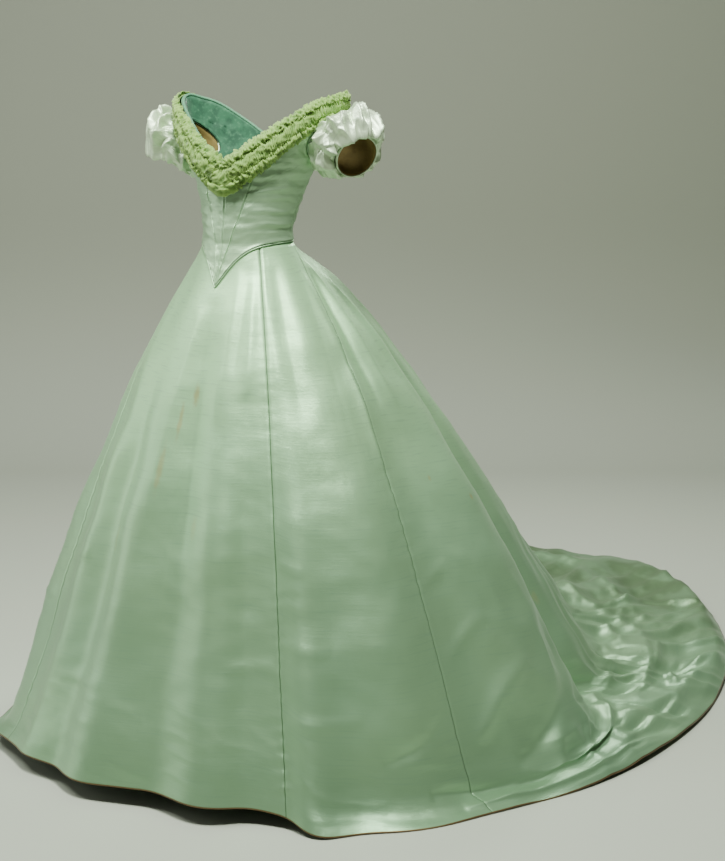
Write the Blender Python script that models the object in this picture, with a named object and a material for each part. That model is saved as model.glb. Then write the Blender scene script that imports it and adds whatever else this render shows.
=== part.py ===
"""Pale green satin ball gown of about 1865, filled out as if it were worn.

Metres, +Z up. The origin is the centre of the waist, where the wearer carries the gown. The
front faces -Y, the wearer's left is +X and the train lies on the floor towards +Y.
Every cloth piece is a wall worked out from the body's sections and the skirt's rays.
"""

import bpy
import numpy as np

for thing in list(bpy.data.objects):
    bpy.data.objects.remove(thing)
gown = bpy.data.collections.new("ball_gown")
bpy.context.scene.collection.children.link(gown)

# Driving sizes
WAIST_HEIGHT = 1.07
FLOOR = -WAIST_HEIGHT
SATIN = 0.0015
LINING = 0.0010
SEAM_GAP = 0.0003
LINING_GAP = 0.0032
FLOOR_GAP = 0.0005
PIPING_RADIUS = 0.0013
PIPING_SIDES = 4

COLOURS = {
    "satin": ((0.47, 0.62, 0.48), 0.38),
    "bodice_lining": ((0.24, 0.52, 0.43), 0.75),
    "sleeve_lining": ((0.28, 0.19, 0.06), 0.8),
    "tulle": ((0.50, 0.62, 0.30), 0.85),
}


# Curves through short tables
def smooth(keys, values, at):
    """A cubic through the rows of a table: keys rise, values may have several columns."""
    keys = np.asarray(keys, float)
    values = np.asarray(values, float)
    at = np.clip(np.asarray(at, float), keys[0], keys[-1])
    slopes = np.gradient(values, keys, axis=0)
    row = np.clip(np.searchsorted(keys, at, side="right") - 1, 0, len(keys) - 2)
    span = keys[row + 1] - keys[row]
    t = (at - keys[row]) / span
    if values.ndim > 1:
        t, span = t[..., None], span[..., None]
    rise = values[row + 1] - values[row]
    start, end = slopes[row] * span, slopes[row + 1] * span
    return values[row] + t * (start + t * (3 * rise - 2 * start - end + t * (start + end - 2 * rise)))


def column(table, *names):
    """Named columns of a table whose first row holds the names."""
    places = [table[0].index(name) for name in names]
    picked = np.array([[row[i] for i in places] for row in table[1:]], float)
    return picked[:, 0] if len(names) == 1 else picked


def unit(vectors):
    return vectors / np.maximum(np.linalg.norm(vectors, axis=-1, keepdims=True), 1e-12)


# Meshes
def material(name):
    found = bpy.data.materials.get(name)
    if found:
        return found
    colour, roughness = COLOURS[name]
    made = bpy.data.materials.new(name)
    made.use_nodes = True
    shader = made.node_tree.nodes["Principled BSDF"]
    shader.inputs["Base Color"].default_value = (*colour, 1)
    shader.inputs["Roughness"].default_value = roughness
    shader.inputs["Metallic"].default_value = 0
    return made


def grid_faces(rows, columns, closed=False):
    """Two triangles for each cell of a grid of rows by columns, split along the same diagonal."""
    row, col = np.meshgrid(np.arange(rows - 1), np.arange(columns if closed else columns - 1), indexing="ij")
    here = row * columns + col
    right = row * columns + (col + 1) % columns
    up, across = here + columns, right + columns
    lower = np.stack([here, right, across], -1).reshape(-1, 3)
    upper = np.stack([here, across, up], -1).reshape(-1, 3)
    return np.concatenate([lower, upper])


def add_object(name, points, faces, finish):
    mesh = bpy.data.meshes.new(name)
    mesh.from_pydata(points.tolist(), [], faces.tolist())
    mesh.materials.append(material(finish))
    made = bpy.data.objects.new(name, mesh)
    gown.objects.link(made)
    mesh.shade_smooth()
    return made


def boundary_edges(faces):
    """Directed edges that only one face has."""
    edges = np.concatenate([faces[:, [0, 1]], faces[:, [1, 2]], faces[:, [2, 0]]])
    _, index, count = np.unique(np.sort(edges, axis=1), axis=0, return_inverse=True, return_counts=True)
    return edges[count[index.reshape(-1)] == 1]


def cloth_wall(name, points, normals, faces, thickness, finish):
    """A closed wall: the outer points, the same points moved in along their normals, and a rim between."""
    points, normals = points.reshape(-1, 3), unit(normals.reshape(-1, 3))
    half = len(points)
    rim = boundary_edges(faces)
    rim_faces = np.concatenate([
        np.stack([rim[:, 1], rim[:, 0], rim[:, 0] + half], -1),
        np.stack([rim[:, 1], rim[:, 0] + half, rim[:, 1] + half], -1),
    ])
    every_point = np.concatenate([points, points - normals * thickness])
    return add_object(name, every_point, np.concatenate([faces, faces[:, ::-1] + half, rim_faces]), finish)


def grid_wall(name, points, normals, thickness, finish, closed=False):
    """A wall from a grid of points; its rows run bottom to top and its columns to the wearer's left."""
    rows, columns = points.shape[:2]
    return cloth_wall(name, points, normals, grid_faces(rows, columns, closed), thickness, finish)


def grid_normals(points):
    """Normals of a grid that closes round its columns, from the points beside each point."""
    round_it = np.roll(points, -1, 1) - np.roll(points, 1, 1)
    up_it = np.gradient(points, axis=0)
    return unit(np.cross(round_it, up_it))


def tube(name, path, radius, sides, finish):
    """A cord round a closed path: a ring of points at each station, square to the path."""
    along = unit(np.roll(path, -1, 0) - np.roll(path, 1, 0))
    out = unit(path * [1, 1, 0])
    out = unit(out - along * (out * along).sum(-1, keepdims=True))
    up = np.cross(along, out)
    turn = np.linspace(0, 2 * np.pi, sides, endpoint=False)
    ring = out[:, None] * np.cos(turn)[:, None] + up[:, None] * np.sin(turn)[:, None]
    points = (path[:, None] + radius * ring).reshape(-1, 3)
    faces = grid_faces(len(path) + 1, sides, closed=True) % len(points)
    return add_object(name, points, faces, finish)


# Body that the bodice is cut for: sections at heights above the waist
BODY_RADIUS = 0.11
SECTIONS = [
    ("height", "half_width", "front", "back", "centre"),
    (-0.120, 0.140, 0.133, 0.125, 0.000),
    (-0.060, 0.112, 0.116, 0.090, 0.000),
    (0.000, 0.096, 0.106, 0.068, 0.000),
    (0.025, 0.0945, 0.105, 0.066, 0.000),
    (0.050, 0.099, 0.103, 0.077, 0.003),
    (0.085, 0.108, 0.103, 0.088, 0.007),
    (0.120, 0.121, 0.105, 0.091, 0.013),
    (0.150, 0.135, 0.108, 0.094, 0.018),
    (0.200, 0.160, 0.112, 0.097, 0.030),
    (0.250, 0.177, 0.110, 0.092, 0.042),
    (0.310, 0.188, 0.103, 0.082, 0.050),
]
WAIST_SEAM = 0.0018
POINT_DIP = 0.0885
POINT_SPREAD = np.radians(20.5)
POINT_POWER = 1.15
NECKLINE = [
    ("angle", "height"),
    (0, 0.155),
    (12, 0.176),
    (24, 0.200),
    (43, 0.244),
    (60, 0.274),
    (78, 0.289),
    (95, 0.295),
    (112, 0.290),
    (130, 0.278),
    (150, 0.245),
    (168, 0.210),
    (180, 0.192),
]


def body(angle, height):
    """A point of the body's surface: angle 0 is the front, and positive angles go to the wearer's left."""
    sizes = column(SECTIONS, "half_width", "front", "back", "centre")
    half_width, front, back, centre = np.moveaxis(smooth(column(SECTIONS, "height"), sizes, height), -1, 0)
    depth = np.where(np.cos(angle) > 0, front, back)
    return np.stack([half_width * np.sin(angle), centre - depth * np.cos(angle), height + 0 * angle], -1)


def lower_edge(angle):
    """Height of the bodice's lower edge, which dips to a point at the front."""
    return WAIST_SEAM - POINT_DIP * np.exp(-((np.abs(angle) / POINT_SPREAD) ** POINT_POWER))


def neckline(angle):
    return smooth(np.radians(column(NECKLINE, "angle")), column(NECKLINE, "height"), np.abs(angle))


# Skirt: each gore runs from the waist to the hem, and the hem is measured from the front centre
SKIRT = [
    ("hem", "waist", "x", "y", "lift", "side", "train", "right_share", "right_lift"),
    (0.00, 0, 0.000, -0.470, 0.035, 0.00, 0.00, 1.000, 0.035),
    (0.20, 26, 0.195, -0.458, 0.034, 0.00, 0.00, 0.985, 0.035),
    (0.34, 45, 0.315, -0.405, 0.022, 0.10, 0.00, 0.960, 0.035),
    (0.42, 57, 0.385, -0.385, 0.004, 0.35, 0.00, 0.935, 0.035),
    (0.53, 72, 0.495, -0.330, 0.000, 0.70, 0.00, 0.890, 0.032),
    (0.75, 108, 0.635, -0.155, 0.000, 1.00, 0.00, 0.860, 0.020),
    (0.98, 122, 0.745, 0.040, 0.000, 1.00, 0.15, 0.860, 0.005),
    (1.22, 132, 0.810, 0.270, 0.000, 1.00, 0.40, 0.880, 0.000),
    (1.50, 141, 0.835, 0.550, 0.000, 1.00, 0.70, 0.910, 0.000),
    (1.73, 148, 0.810, 0.780, 0.000, 1.00, 0.90, 0.930, 0.000),
    (1.98, 155, 0.745, 1.020, 0.000, 1.00, 1.00, 0.950, 0.000),
    (2.25, 162, 0.630, 1.270, 0.000, 1.00, 1.00, 0.965, 0.000),
    (2.49, 168, 0.490, 1.470, 0.000, 1.00, 1.00, 0.980, 0.000),
    (2.77, 174, 0.270, 1.650, 0.000, 1.00, 1.00, 0.995, 0.000),
    (3.05, 180, 0.000, 1.700, 0.000, 1.00, 1.00, 1.000, 0.000),
]
PROFILE = [
    ("down", "front_out", "front_drop", "side_out", "side_drop", "train_out", "train_drop"),
    (0.00, 0.000, 0.000, 0.000, 0.000, 0.000, 0.000),
    (0.06, 0.062, 0.060, 0.085, 0.060, 0.085, 0.062),
    (0.14, 0.172, 0.140, 0.195, 0.140, 0.165, 0.155),
    (0.25, 0.310, 0.250, 0.325, 0.250, 0.240, 0.260),
    (0.38, 0.445, 0.380, 0.458, 0.385, 0.335, 0.400),
    (0.52, 0.575, 0.520, 0.585, 0.530, 0.430, 0.560),
    (0.66, 0.690, 0.660, 0.698, 0.680, 0.515, 0.710),
    (0.78, 0.795, 0.785, 0.790, 0.815, 0.600, 0.850),
    (0.87, 0.880, 0.875, 0.860, 0.925, 0.680, 0.960),
    (0.93, 0.940, 0.935, 0.920, 0.985, 0.800, 0.991),
    (1.00, 1.000, 1.000, 1.000, 1.000, 1.000, 1.000),
]
WAIST_INSET = 0.0036
HEM_ROUND = 6.10
REST_START = 0.86
REST_LENGTH = 0.10
FOLDS = [
    ("hem", "width", "depth", "start", "full", "floor"),
    (-0.330, 0.055, 0.014, 0.10, 0.60, 1.0),
    (-0.215, 0.050, -0.012, 0.10, 0.60, 1.0),
    (-0.110, 0.060, 0.014, 0.10, 0.60, 1.0),
    (0.040, 0.060, -0.014, 0.10, 0.50, 1.0),
    (0.160, 0.055, 0.010, 0.10, 0.60, 1.0),
    (0.260, 0.050, -0.012, 0.12, 0.70, 1.0),
    (0.420, 0.055, 0.035, 0.15, 1.00, 1.0),
    (0.640, 0.080, 0.012, 0.20, 0.70, 0.3),
    (0.840, 0.090, -0.014, 0.12, 0.60, 0.2),
    (1.150, 0.150, 0.030, 0.10, 0.60, 0.1),
    (1.470, 0.105, -0.085, 0.10, 0.50, 0.0),
    (1.800, 0.140, 0.015, 0.10, 0.50, 0.0),
    (2.250, 0.130, -0.030, 0.08, 0.50, 0.0),
    (2.740, 0.130, -0.024, 0.08, 0.50, 0.0),
    (-0.560, 0.070, 0.014, 0.15, 0.80, 1.0),
    (-0.780, 0.070, -0.014, 0.15, 0.80, 0.3),
    (-1.100, 0.140, 0.028, 0.10, 0.70, 0.1),
    (-1.520, 0.110, -0.075, 0.10, 0.52, 0.0),
    (-1.900, 0.130, 0.018, 0.10, 0.55, 0.0),
    (-2.300, 0.120, -0.032, 0.08, 0.50, 0.0),
    (-2.740, 0.130, -0.024, 0.08, 0.50, 0.0),
]
FLOOR_FOLDS = [
    ("hem", "length", "down", "width", "height"),
    (1.150, 0.300, 0.945, 0.020, 0.014),
    (1.900, 0.140, 0.900, 0.030, 0.022),
    (2.230, 0.130, 0.870, 0.035, 0.024),
    (2.620, 0.100, 0.900, 0.050, 0.020),
    (3.050, 0.160, 0.945, 0.030, 0.016),
    (-2.650, 0.250, 0.900, 0.030, 0.018),
    (-2.100, 0.200, 0.945, 0.025, 0.016),
    (-1.300, 0.250, 0.945, 0.020, 0.012),
]


def profile_shares(down, side, train):
    """How far out and down the cloth is at this share of its length, for a front, side or train gore."""
    shares = smooth(column(PROFILE, "down"), column(PROFILE, *PROFILE[0][1:]), down)
    front, flank, back = shares[..., 0:2], shares[..., 2:4], shares[..., 4:6]
    mixed = front + (flank - front) * side[..., None]
    mixed = mixed + (back - mixed) * train[..., None]
    return mixed[..., 0], mixed[..., 1]


def fold_depth(hem, down):
    depth = 0 * hem
    for place, width, height, start, full, floor in column(FOLDS, *FOLDS[0]):
        grow = np.clip((down - start) / (full - start), 0, 1)
        rest = np.clip((down - REST_START) / REST_LENGTH, 0, 1)
        grow = grow * grow * (3 - 2 * grow) * (1 - (1 - floor) * rest)
        away = np.abs(hem - place)
        away = np.minimum(away, HEM_ROUND - away)
        depth = depth + height * grow * np.exp(-((away / width) ** 2))
    return depth


def floor_lump(hem, down):
    """Height of the folds that lie raised on the train; past the back they run on to the other side."""
    raised = 0 * hem
    for place, length, low, width, height in column(FLOOR_FOLDS, *FLOOR_FOLDS[0]):
        away = np.minimum(np.abs(hem - place), HEM_ROUND - np.abs(hem - place))
        raised = raised + height * np.exp(-((away / length) ** 2) - ((down - low) / width) ** 2)
    return raised


def skirt_base(hem, down):
    """The skirt's surface before its folds: positive hem distances go to the wearer's left."""
    hem = (hem + HEM_ROUND / 2) % HEM_ROUND - HEM_ROUND / 2
    right = hem < 0
    row = smooth(column(SKIRT, "hem"), column(SKIRT, *SKIRT[0][1:]), np.abs(hem))
    waist, x, y, lift, side, train, right_share, right_lift = np.moveaxis(row, -1, 0)
    angle = np.radians(waist) * np.where(right, -1, 1)
    out, drop = profile_shares(down, side, train)
    start = body(angle, 0 * hem)
    start = start - WAIST_INSET * unit(start * [1, 1, 0])
    end_x = np.where(right, -x * right_share, x)
    bottom = FLOOR + SATIN + FLOOR_GAP + np.where(right, right_lift, lift)
    return np.stack([
        start[..., 0] + (end_x - start[..., 0]) * out,
        start[..., 1] + (y - start[..., 1]) * out,
        bottom * drop,
    ], -1)


def skirt(hem, down):
    step = 1e-4
    base = skirt_base(hem, down)
    along = skirt_base(hem + step, down) - skirt_base(hem - step, down)
    outward = unit(np.stack([along[..., 1], -along[..., 0], 0 * hem], -1))
    lump = floor_lump(hem, down)
    return base + outward * fold_depth(hem, down)[..., None] + np.stack([0 * lump, 0 * lump, lump], -1)


def skirt_normal(hem, down):
    step = 1e-3
    hem_step = skirt(hem + step, down) - skirt(hem - step, down)
    down_step = skirt(hem, down + step) - skirt(hem, down - step)
    return unit(np.cross(down_step, hem_step))


# Bodice: it lies on the body above the waist and on the skirt below it
SIDE_FRONT_SEAM = [
    ("up", "angle"),
    (0.00, 2.0),
    (0.12, 3.5),
    (0.20, 7.5),
    (0.28, 13.0),
    (0.36, 18.0),
    (0.50, 23.0),
    (0.70, 27.0),
    (1.00, 31.0),
]
SIDE_SEAM = [
    ("up", "angle"),
    (0.00, 92),
    (0.35, 96),
    (0.51, 98),
    (0.66, 91),
    (0.82, 84),
    (1.00, 84),
]
ARMHOLE_MIDDLE = 0.685
ARMHOLE_HALF = 0.145
ARMHOLE_FRONT = np.radians(22)
ARMHOLE_BACK = np.radians(36)
SEAM_ANGLE = 0.0017
POINT_GAP = 0.0023
ARMHOLE_ROWS = 7
FRONT_COLUMNS = 4
SIDE_FRONT_COLUMNS = 7
BACK_COLUMNS = 8


def hem_of(angle):
    waist = np.radians(column(SKIRT, "waist"))
    return np.interp(np.abs(angle), waist, column(SKIRT, "hem")) * np.where(angle < 0, -1, 1)


def torso(angle, height):
    """The bodice's outer surface: the body above the waist, and a layer over the skirt below it."""
    angle = angle + 0 * height
    down = np.clip(height / FLOOR, 0, 1)
    below = skirt_base(hem_of(angle), down)
    below = below + WAIST_INSET * unit(below * [1, 1, 0])
    return np.where((height < 0)[..., None], below, body(angle, np.maximum(height, 0)))


def torso_normal(angle, height):
    step = 2e-3
    round_it = torso(angle + step, height) - torso(angle - step, height)
    up_it = torso(angle, height + step) - torso(angle, height - step)
    return unit(np.cross(round_it, up_it))


def on_torso(angle, height, lift):
    """A point of the torso moved out by this much."""
    return torso(angle, height) + torso_normal(angle, height) * np.asarray(lift)[..., None]


def bodice_height(angle, up):
    """Height on the bodice at this share of the way from its lower edge to the neckline."""
    step = 1e-3
    slope = (lower_edge(angle + step) - lower_edge(angle - step)) / (2 * step * BODY_RADIUS)
    low = lower_edge(angle) + POINT_GAP * np.sqrt(1 + slope ** 2)
    return low + up * (neckline(angle) - low)


def side_seam(up):
    return np.radians(smooth(column(SIDE_SEAM, "up"), column(SIDE_SEAM, "angle"), up))


def armhole_edge(up, reach):
    """Angle by which the armhole cuts into a panel at this height of the panel."""
    inside = 1 - ((up - ARMHOLE_MIDDLE) / ARMHOLE_HALF) ** 2
    return reach * np.sqrt(np.maximum(inside, 0))


def bodice_rows(count):
    """Rows of a panel with an armhole: closer together at the armhole's ends."""
    low, high = ARMHOLE_MIDDLE - ARMHOLE_HALF, ARMHOLE_MIDDLE + ARMHOLE_HALF
    turn = np.linspace(-1, 1, count)
    curve = ARMHOLE_MIDDLE + ARMHOLE_HALF * np.sin(turn * np.pi / 2)
    return np.concatenate([np.linspace(0, low, 5)[:-1], curve, np.linspace(high, 1, 3)[1:]])


def torso_panel(name, from_edge, to_edge, ups, columns, side):
    """A panel between two seams, each an angle for every row; side is -1 for its mirror image."""
    across = np.linspace(0, 1, columns)
    up = ups[:, None] + 0 * across
    angle = (from_edge + SEAM_ANGLE)[:, None] * (1 - across) + (to_edge - SEAM_ANGLE)[:, None] * across
    if side < 0:
        angle = -angle[:, ::-1]
    height = bodice_height(angle, up)
    grid_wall(name, torso(angle, height), torso_normal(angle, height), SATIN, "satin")


def make_bodice():
    ups = bodice_rows(ARMHOLE_ROWS)
    seam = np.radians(smooth(column(SIDE_FRONT_SEAM, "up"), column(SIDE_FRONT_SEAM, "angle"), ups))
    front_edge = side_seam(ups) - armhole_edge(ups, ARMHOLE_FRONT)
    back_edge = side_seam(ups) + armhole_edge(ups, ARMHOLE_BACK)
    for hand, side in (("left", 1), ("right", -1)):
        torso_panel(f"bodice_front_{hand}", 0 * ups, seam, ups, FRONT_COLUMNS, side)
        torso_panel(f"bodice_side_front_{hand}", seam, front_edge, ups, SIDE_FRONT_COLUMNS, side)
        torso_panel(f"bodice_back_{hand}", back_edge, 0 * ups + np.pi, ups, BACK_COLUMNS, side)


# Bodice lining: a front and a back piece inside the satin
LINING_SHARE = 0.985
LINING_START = 0.005
LINING_COLUMNS = 17


def make_lining():
    """Two lining pieces inside the satin, joined under the arms."""
    inset = -(SATIN + LINING_GAP)
    ups = bodice_rows(ARMHOLE_ROWS)
    across = np.linspace(-1, 1, LINING_COLUMNS)
    for name, middle, half in (
            ("lining_front", 0.0, side_seam(ups) - armhole_edge(ups, ARMHOLE_FRONT)),
            ("lining_back", np.pi, np.pi - side_seam(ups) - armhole_edge(ups, ARMHOLE_BACK))):
        angle = middle + across * (half - SEAM_ANGLE)[:, None]
        wrapped = np.arctan2(np.sin(angle), np.cos(angle))
        height = LINING_START + ups[:, None] * (neckline(wrapped) * LINING_SHARE - LINING_START)
        points = on_torso(angle, height, inset + 0 * angle)
        grid_wall(name, points, torso_normal(angle, height), LINING, "bodice_lining")


# Piping round the bodice's lower edge, with most of its stations at the point
PIPING_LIFT = PIPING_RADIUS + 0.0012 - WAIST_INSET
POINT_STATIONS = np.linspace(0, 0.9, 20)
WAIST_STATIONS = np.linspace(1.0, np.pi, 14)


def make_piping():
    angle = np.concatenate([POINT_STATIONS, WAIST_STATIONS])
    angle = np.concatenate([angle, -angle[-2:0:-1]])
    path = on_torso(angle, lower_edge(angle), PIPING_LIFT + 0 * angle)
    tube("bodice_piping", path, PIPING_RADIUS, PIPING_SIDES, "satin")


# Bertha: a gathered band of tulle between two frills, all along the neckline
BERTHA_WIDTH = [
    ("angle", "width"),
    (0, 0.056),
    (12, 0.058),
    (25, 0.060),
    (45, 0.054),
    (60, 0.044),
    (75, 0.037),
    (90, 0.036),
    (130, 0.040),
    (180, 0.046),
]
BERTHA_PARTS = [
    ("waves", "wave", "swing", "phase"),
    (25, 0.0022, 0.35, 0.4),
    (26, 0.0036, 0.50, 1.7),
    (26, 0.0040, 0.45, 2.9),
]
BERTHA_ROWS = {
    "bertha_band": [("across", "lift"), (0.12, 0.000), (0.32, 0.018), (0.62, 0.020), (0.88, 0.000)],
    "bertha_top_frill": [("across", "lift"), (-0.17, 0.009), (-0.05, 0.010), (0.07, -0.0007)],
    "bertha_bottom_frill": [("across", "lift"), (0.92, 0.000), (1.02, 0.011), (1.13, 0.008)],
}
BERTHA_REST = 0.0020
BERTHA_RISE = 0.002
BERTHA_BACK_DROP = 0.014
BERTHA_DROP_START = np.radians(100)
BERTHA_DROP_TURN = np.radians(30)
BERTHA_COLUMNS = 128
BERTHA_CLOTH = 0.0012
LEAST_LIFT = 0.35
TOP_HEIGHT = 0.305


def bertha_surface(turn, across, lift):
    """A point beside the neckline: across runs down from the edge, square to it, in bertha widths."""
    step = 1e-2
    width = smooth(np.radians(column(BERTHA_WIDTH, "angle")), column(BERTHA_WIDTH, "width"), np.abs(turn))
    ahead = torso(turn + step, neckline(turn + step))
    behind = torso(turn - step, neckline(turn - step))
    run = np.linalg.norm((ahead - behind)[..., :2], axis=-1)
    slope = (ahead - behind)[..., 2] / run
    per_angle = run / (2 * step)
    square = np.sqrt(1 + slope ** 2)
    angle = turn + across * width * slope / square / per_angle
    behind_shoulder = np.clip((np.abs(turn) - BERTHA_DROP_START) / BERTHA_DROP_TURN, 0, 1)
    edge = neckline(turn) + BERTHA_RISE - BERTHA_BACK_DROP * behind_shoulder
    height = edge - across * width / square
    inside = np.minimum(height, TOP_HEIGHT)
    fullness = LEAST_LIFT + (1 - LEAST_LIFT) * width / BERTHA_WIDTH[1][1]
    raised = on_torso(angle, inside, BERTHA_REST + lift * fullness)
    return raised + np.stack([0 * height, 0 * height, height - inside], -1)


def make_bertha():
    turn = np.linspace(-np.pi, np.pi, BERTHA_COLUMNS, endpoint=False)
    for (name, table), (waves, wave, swing, phase) in zip(
            BERTHA_ROWS.items(), column(BERTHA_PARTS, *BERTHA_PARTS[0])):
        across = column(table, "across")[::-1, None] + 0 * turn
        lift = column(table, "lift")[::-1, None]
        loose = np.clip(lift / np.max(lift), 0, 1)
        ripple = np.sin(waves * turn + 2 * swing * np.sin(3 * turn + phase) + phase)
        points = bertha_surface(turn + 0 * across, across, lift + wave * loose * ripple)
        grid_wall(name, points, grid_normals(points), BERTHA_CLOTH, "tulle", closed=True)


# Sleeves: short puffs gathered into the armhole and into a cuff
SLEEVE_LEFT = [
    ("along", "x", "y", "z", "radius", "gather"),
    (0.00, 0.157, 0.0310, 0.1980, 0.0440, 0.0004),
    (0.08, 0.170, 0.0305, 0.1960, 0.0560, 0.0012),
    (0.20, 0.185, 0.0290, 0.1990, 0.0680, 0.0030),
    (0.38, 0.203, 0.0260, 0.2040, 0.0725, 0.0040),
    (0.56, 0.219, 0.0210, 0.2040, 0.0725, 0.0040),
    (0.74, 0.234, 0.0160, 0.1950, 0.0680, 0.0034),
    (0.88, 0.243, 0.0125, 0.1830, 0.0580, 0.0020),
    (1.00, 0.238, 0.0150, 0.1770, 0.0460, 0.0004),
]
SLEEVE_RIGHT = [
    ("along", "x", "y", "z", "radius", "gather"),
    (0.00, 0.157, 0.0310, 0.1980, 0.0440, 0.0004),
    (0.08, 0.168, 0.0315, 0.1970, 0.0550, 0.0012),
    (0.20, 0.178, 0.0300, 0.2000, 0.0660, 0.0030),
    (0.38, 0.187, 0.0280, 0.2030, 0.0720, 0.0040),
    (0.56, 0.196, 0.0230, 0.1970, 0.0725, 0.0040),
    (0.74, 0.202, 0.0180, 0.1790, 0.0680, 0.0034),
    (0.88, 0.202, 0.0140, 0.1610, 0.0580, 0.0020),
    (1.00, 0.197, 0.0155, 0.1590, 0.0460, 0.0004),
]
SLEEVE_IN = (0.93, -0.05, -0.35)
LEFT_OUT = (0.77, -0.45, -0.46)
RIGHT_OUT = (0.45, -0.35, -0.82)
SLEEVE_WAVES = 10
SLEEVE_SHARE = 0.955
LINING_INSIDE = 0.89
CUFF_START = 0.0005
CUFF_LENGTH = 0.009
CUFF_RADIUS = 0.0450
CUFF_COLUMNS = 20
SLEEVE_GRID = (8, 40)
SLEEVE_LINING_GRID = (5, 18)
SLEEVE_BLEND = 0.2
GATHER_SWING = 0.8
LINING_LEFT = [
    ("along", "x", "y", "z", "radius"),
    (0.00, 0.157, 0.0310, 0.1980, 0.0360),
    (0.35, 0.190, 0.0280, 0.1965, 0.0360),
    (0.70, 0.2215, 0.0235, 0.1865, 0.0395),
    (1.00, 0.2438, 0.0116, 0.1736, 0.0424),
]
LINING_RIGHT = [
    ("along", "x", "y", "z", "radius"),
    (0.00, 0.157, 0.0310, 0.1980, 0.0360),
    (0.35, 0.183, 0.0290, 0.1970, 0.0360),
    (0.70, 0.188, 0.0227, 0.1758, 0.0395),
    (1.00, 0.2004, 0.0129, 0.1528, 0.0424),
]


def armhole_ring(turn, share):
    """Points inside the armhole, on the torso: turn 0 is its top and a quarter turn its front."""
    up = ARMHOLE_MIDDLE + share * ARMHOLE_HALF * np.cos(turn)
    reach = np.where(np.sin(turn) > 0, ARMHOLE_FRONT, ARMHOLE_BACK)
    angle = side_seam(up) - share * reach * np.sin(turn)
    return torso(angle, bodice_height(angle, up))


def sleeve_ring(centre, radius, turn, along, out):
    """A ring square to the sleeve, whose direction swings from the armhole's to the cuff's."""
    direction = unit(np.array(SLEEVE_IN) * (1 - along) + np.array(out) * along)
    top = unit(np.array([0, 0, 1]) - direction[..., 2:] * direction)
    front = np.cross(direction, top)
    return centre + radius * (top * np.cos(turn)[..., None] + front * np.sin(turn)[..., None])


def sleeve_grid(table, out, grid, share, waves):
    """Rings from the armhole to the cuff; waves is the number of gathers round each, or 0."""
    rows, columns = grid
    turn = np.linspace(0, 2 * np.pi, columns, endpoint=False)[None, :] + np.zeros((rows, 1))
    along = np.linspace(0, 1, rows)[:, None] + 0 * turn
    path = smooth(column(table, "along"), column(table, "x", "y", "z", "radius"), along)
    radius = path[..., 3:]
    if waves:
        gather = smooth(column(table, "along"), column(table, "gather"), along)
        radius = radius + (gather * np.cos(waves * turn + GATHER_SWING * np.sin(2 * turn)))[..., None]
    rings = sleeve_ring(path[..., :3], radius, turn, along[..., None], out)
    start = armhole_ring(turn, share)
    blend = np.clip(1 - along / SLEEVE_BLEND, 0, 1)[..., None]
    return rings + (start - rings) * blend ** 2


def cuff_grid(table, out):
    """The cuff band: two rings past the sleeve's last one."""
    turn = np.linspace(0, 2 * np.pi, CUFF_COLUMNS, endpoint=False)[None, :] + np.zeros((2, 1))
    end = smooth(column(table, "along"), column(table, "x", "y", "z"), 1.0)
    steps = np.array([CUFF_START, CUFF_LENGTH])[:, None, None]
    return sleeve_ring(end + unit(np.array(out)) * steps, CUFF_RADIUS, turn, np.ones((2, 1, 1)), out)


def make_sleeves():
    """Both sleeves are worked out on the wearer's left; the right one is then turned over."""
    for hand, table, lining, out in (
            ("left", SLEEVE_LEFT, LINING_LEFT, LEFT_OUT),
            ("right", SLEEVE_RIGHT, LINING_RIGHT, RIGHT_OUT)):
        outer = sleeve_grid(table, out, SLEEVE_GRID, SLEEVE_SHARE, SLEEVE_WAVES)
        inner = sleeve_grid(lining, out, SLEEVE_LINING_GRID, LINING_INSIDE, 0)
        for name, points, thickness, finish in (
                ("sleeve", outer, SATIN, "satin"),
                ("cuff_band", cuff_grid(table, out), SATIN, "satin"),
                ("sleeve_lining", inner, LINING, "sleeve_lining")):
            if hand == "right":
                points = (points * [-1, 1, 1])[:, ::-1]
            grid_wall(f"{name}_{hand}", points, grid_normals(points), thickness, finish, closed=True)


# Gores of the skirt, cut between these hem distances
GORES = {
    "skirt_front": (-0.450, 0.345, 14),
    "skirt_side_left": (0.345, 0.750, 8),
    "skirt_back_left": (0.750, 3.050, 24),
    "skirt_side_right": (-0.800, -0.450, 8),
    "skirt_back_right": (-3.050, -0.800, 24),
}
SKIRT_DOWN = (0, 0.04, 0.09, 0.15, 0.23, 0.32, 0.42, 0.53, 0.64, 0.74, 0.82, 0.87, 0.91, 0.945, 0.975, 1)


def make_skirt():
    down = np.array(SKIRT_DOWN)
    for name, (first, last, columns) in GORES.items():
        hem = np.linspace(first, last, columns)[None, :] + 0 * down[:, None]
        deep = down[::-1, None] + 0 * hem
        step = 1e-3
        pace = np.linalg.norm(skirt(hem + step, deep) - skirt(hem - step, deep), axis=-1) / (2 * step)
        nudge = 0 * hem
        nudge[:, 0], nudge[:, -1] = 1, -1
        hem = hem + nudge * SEAM_GAP / 2 / np.maximum(pace, 0.01)
        grid_wall(name, skirt(hem, deep), skirt_normal(hem, deep), SATIN, "satin")


make_skirt()
make_bodice()
make_lining()
make_piping()
make_bertha()
make_sleeves()
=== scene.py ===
from math import atan, cos, pi, radians, sin

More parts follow.
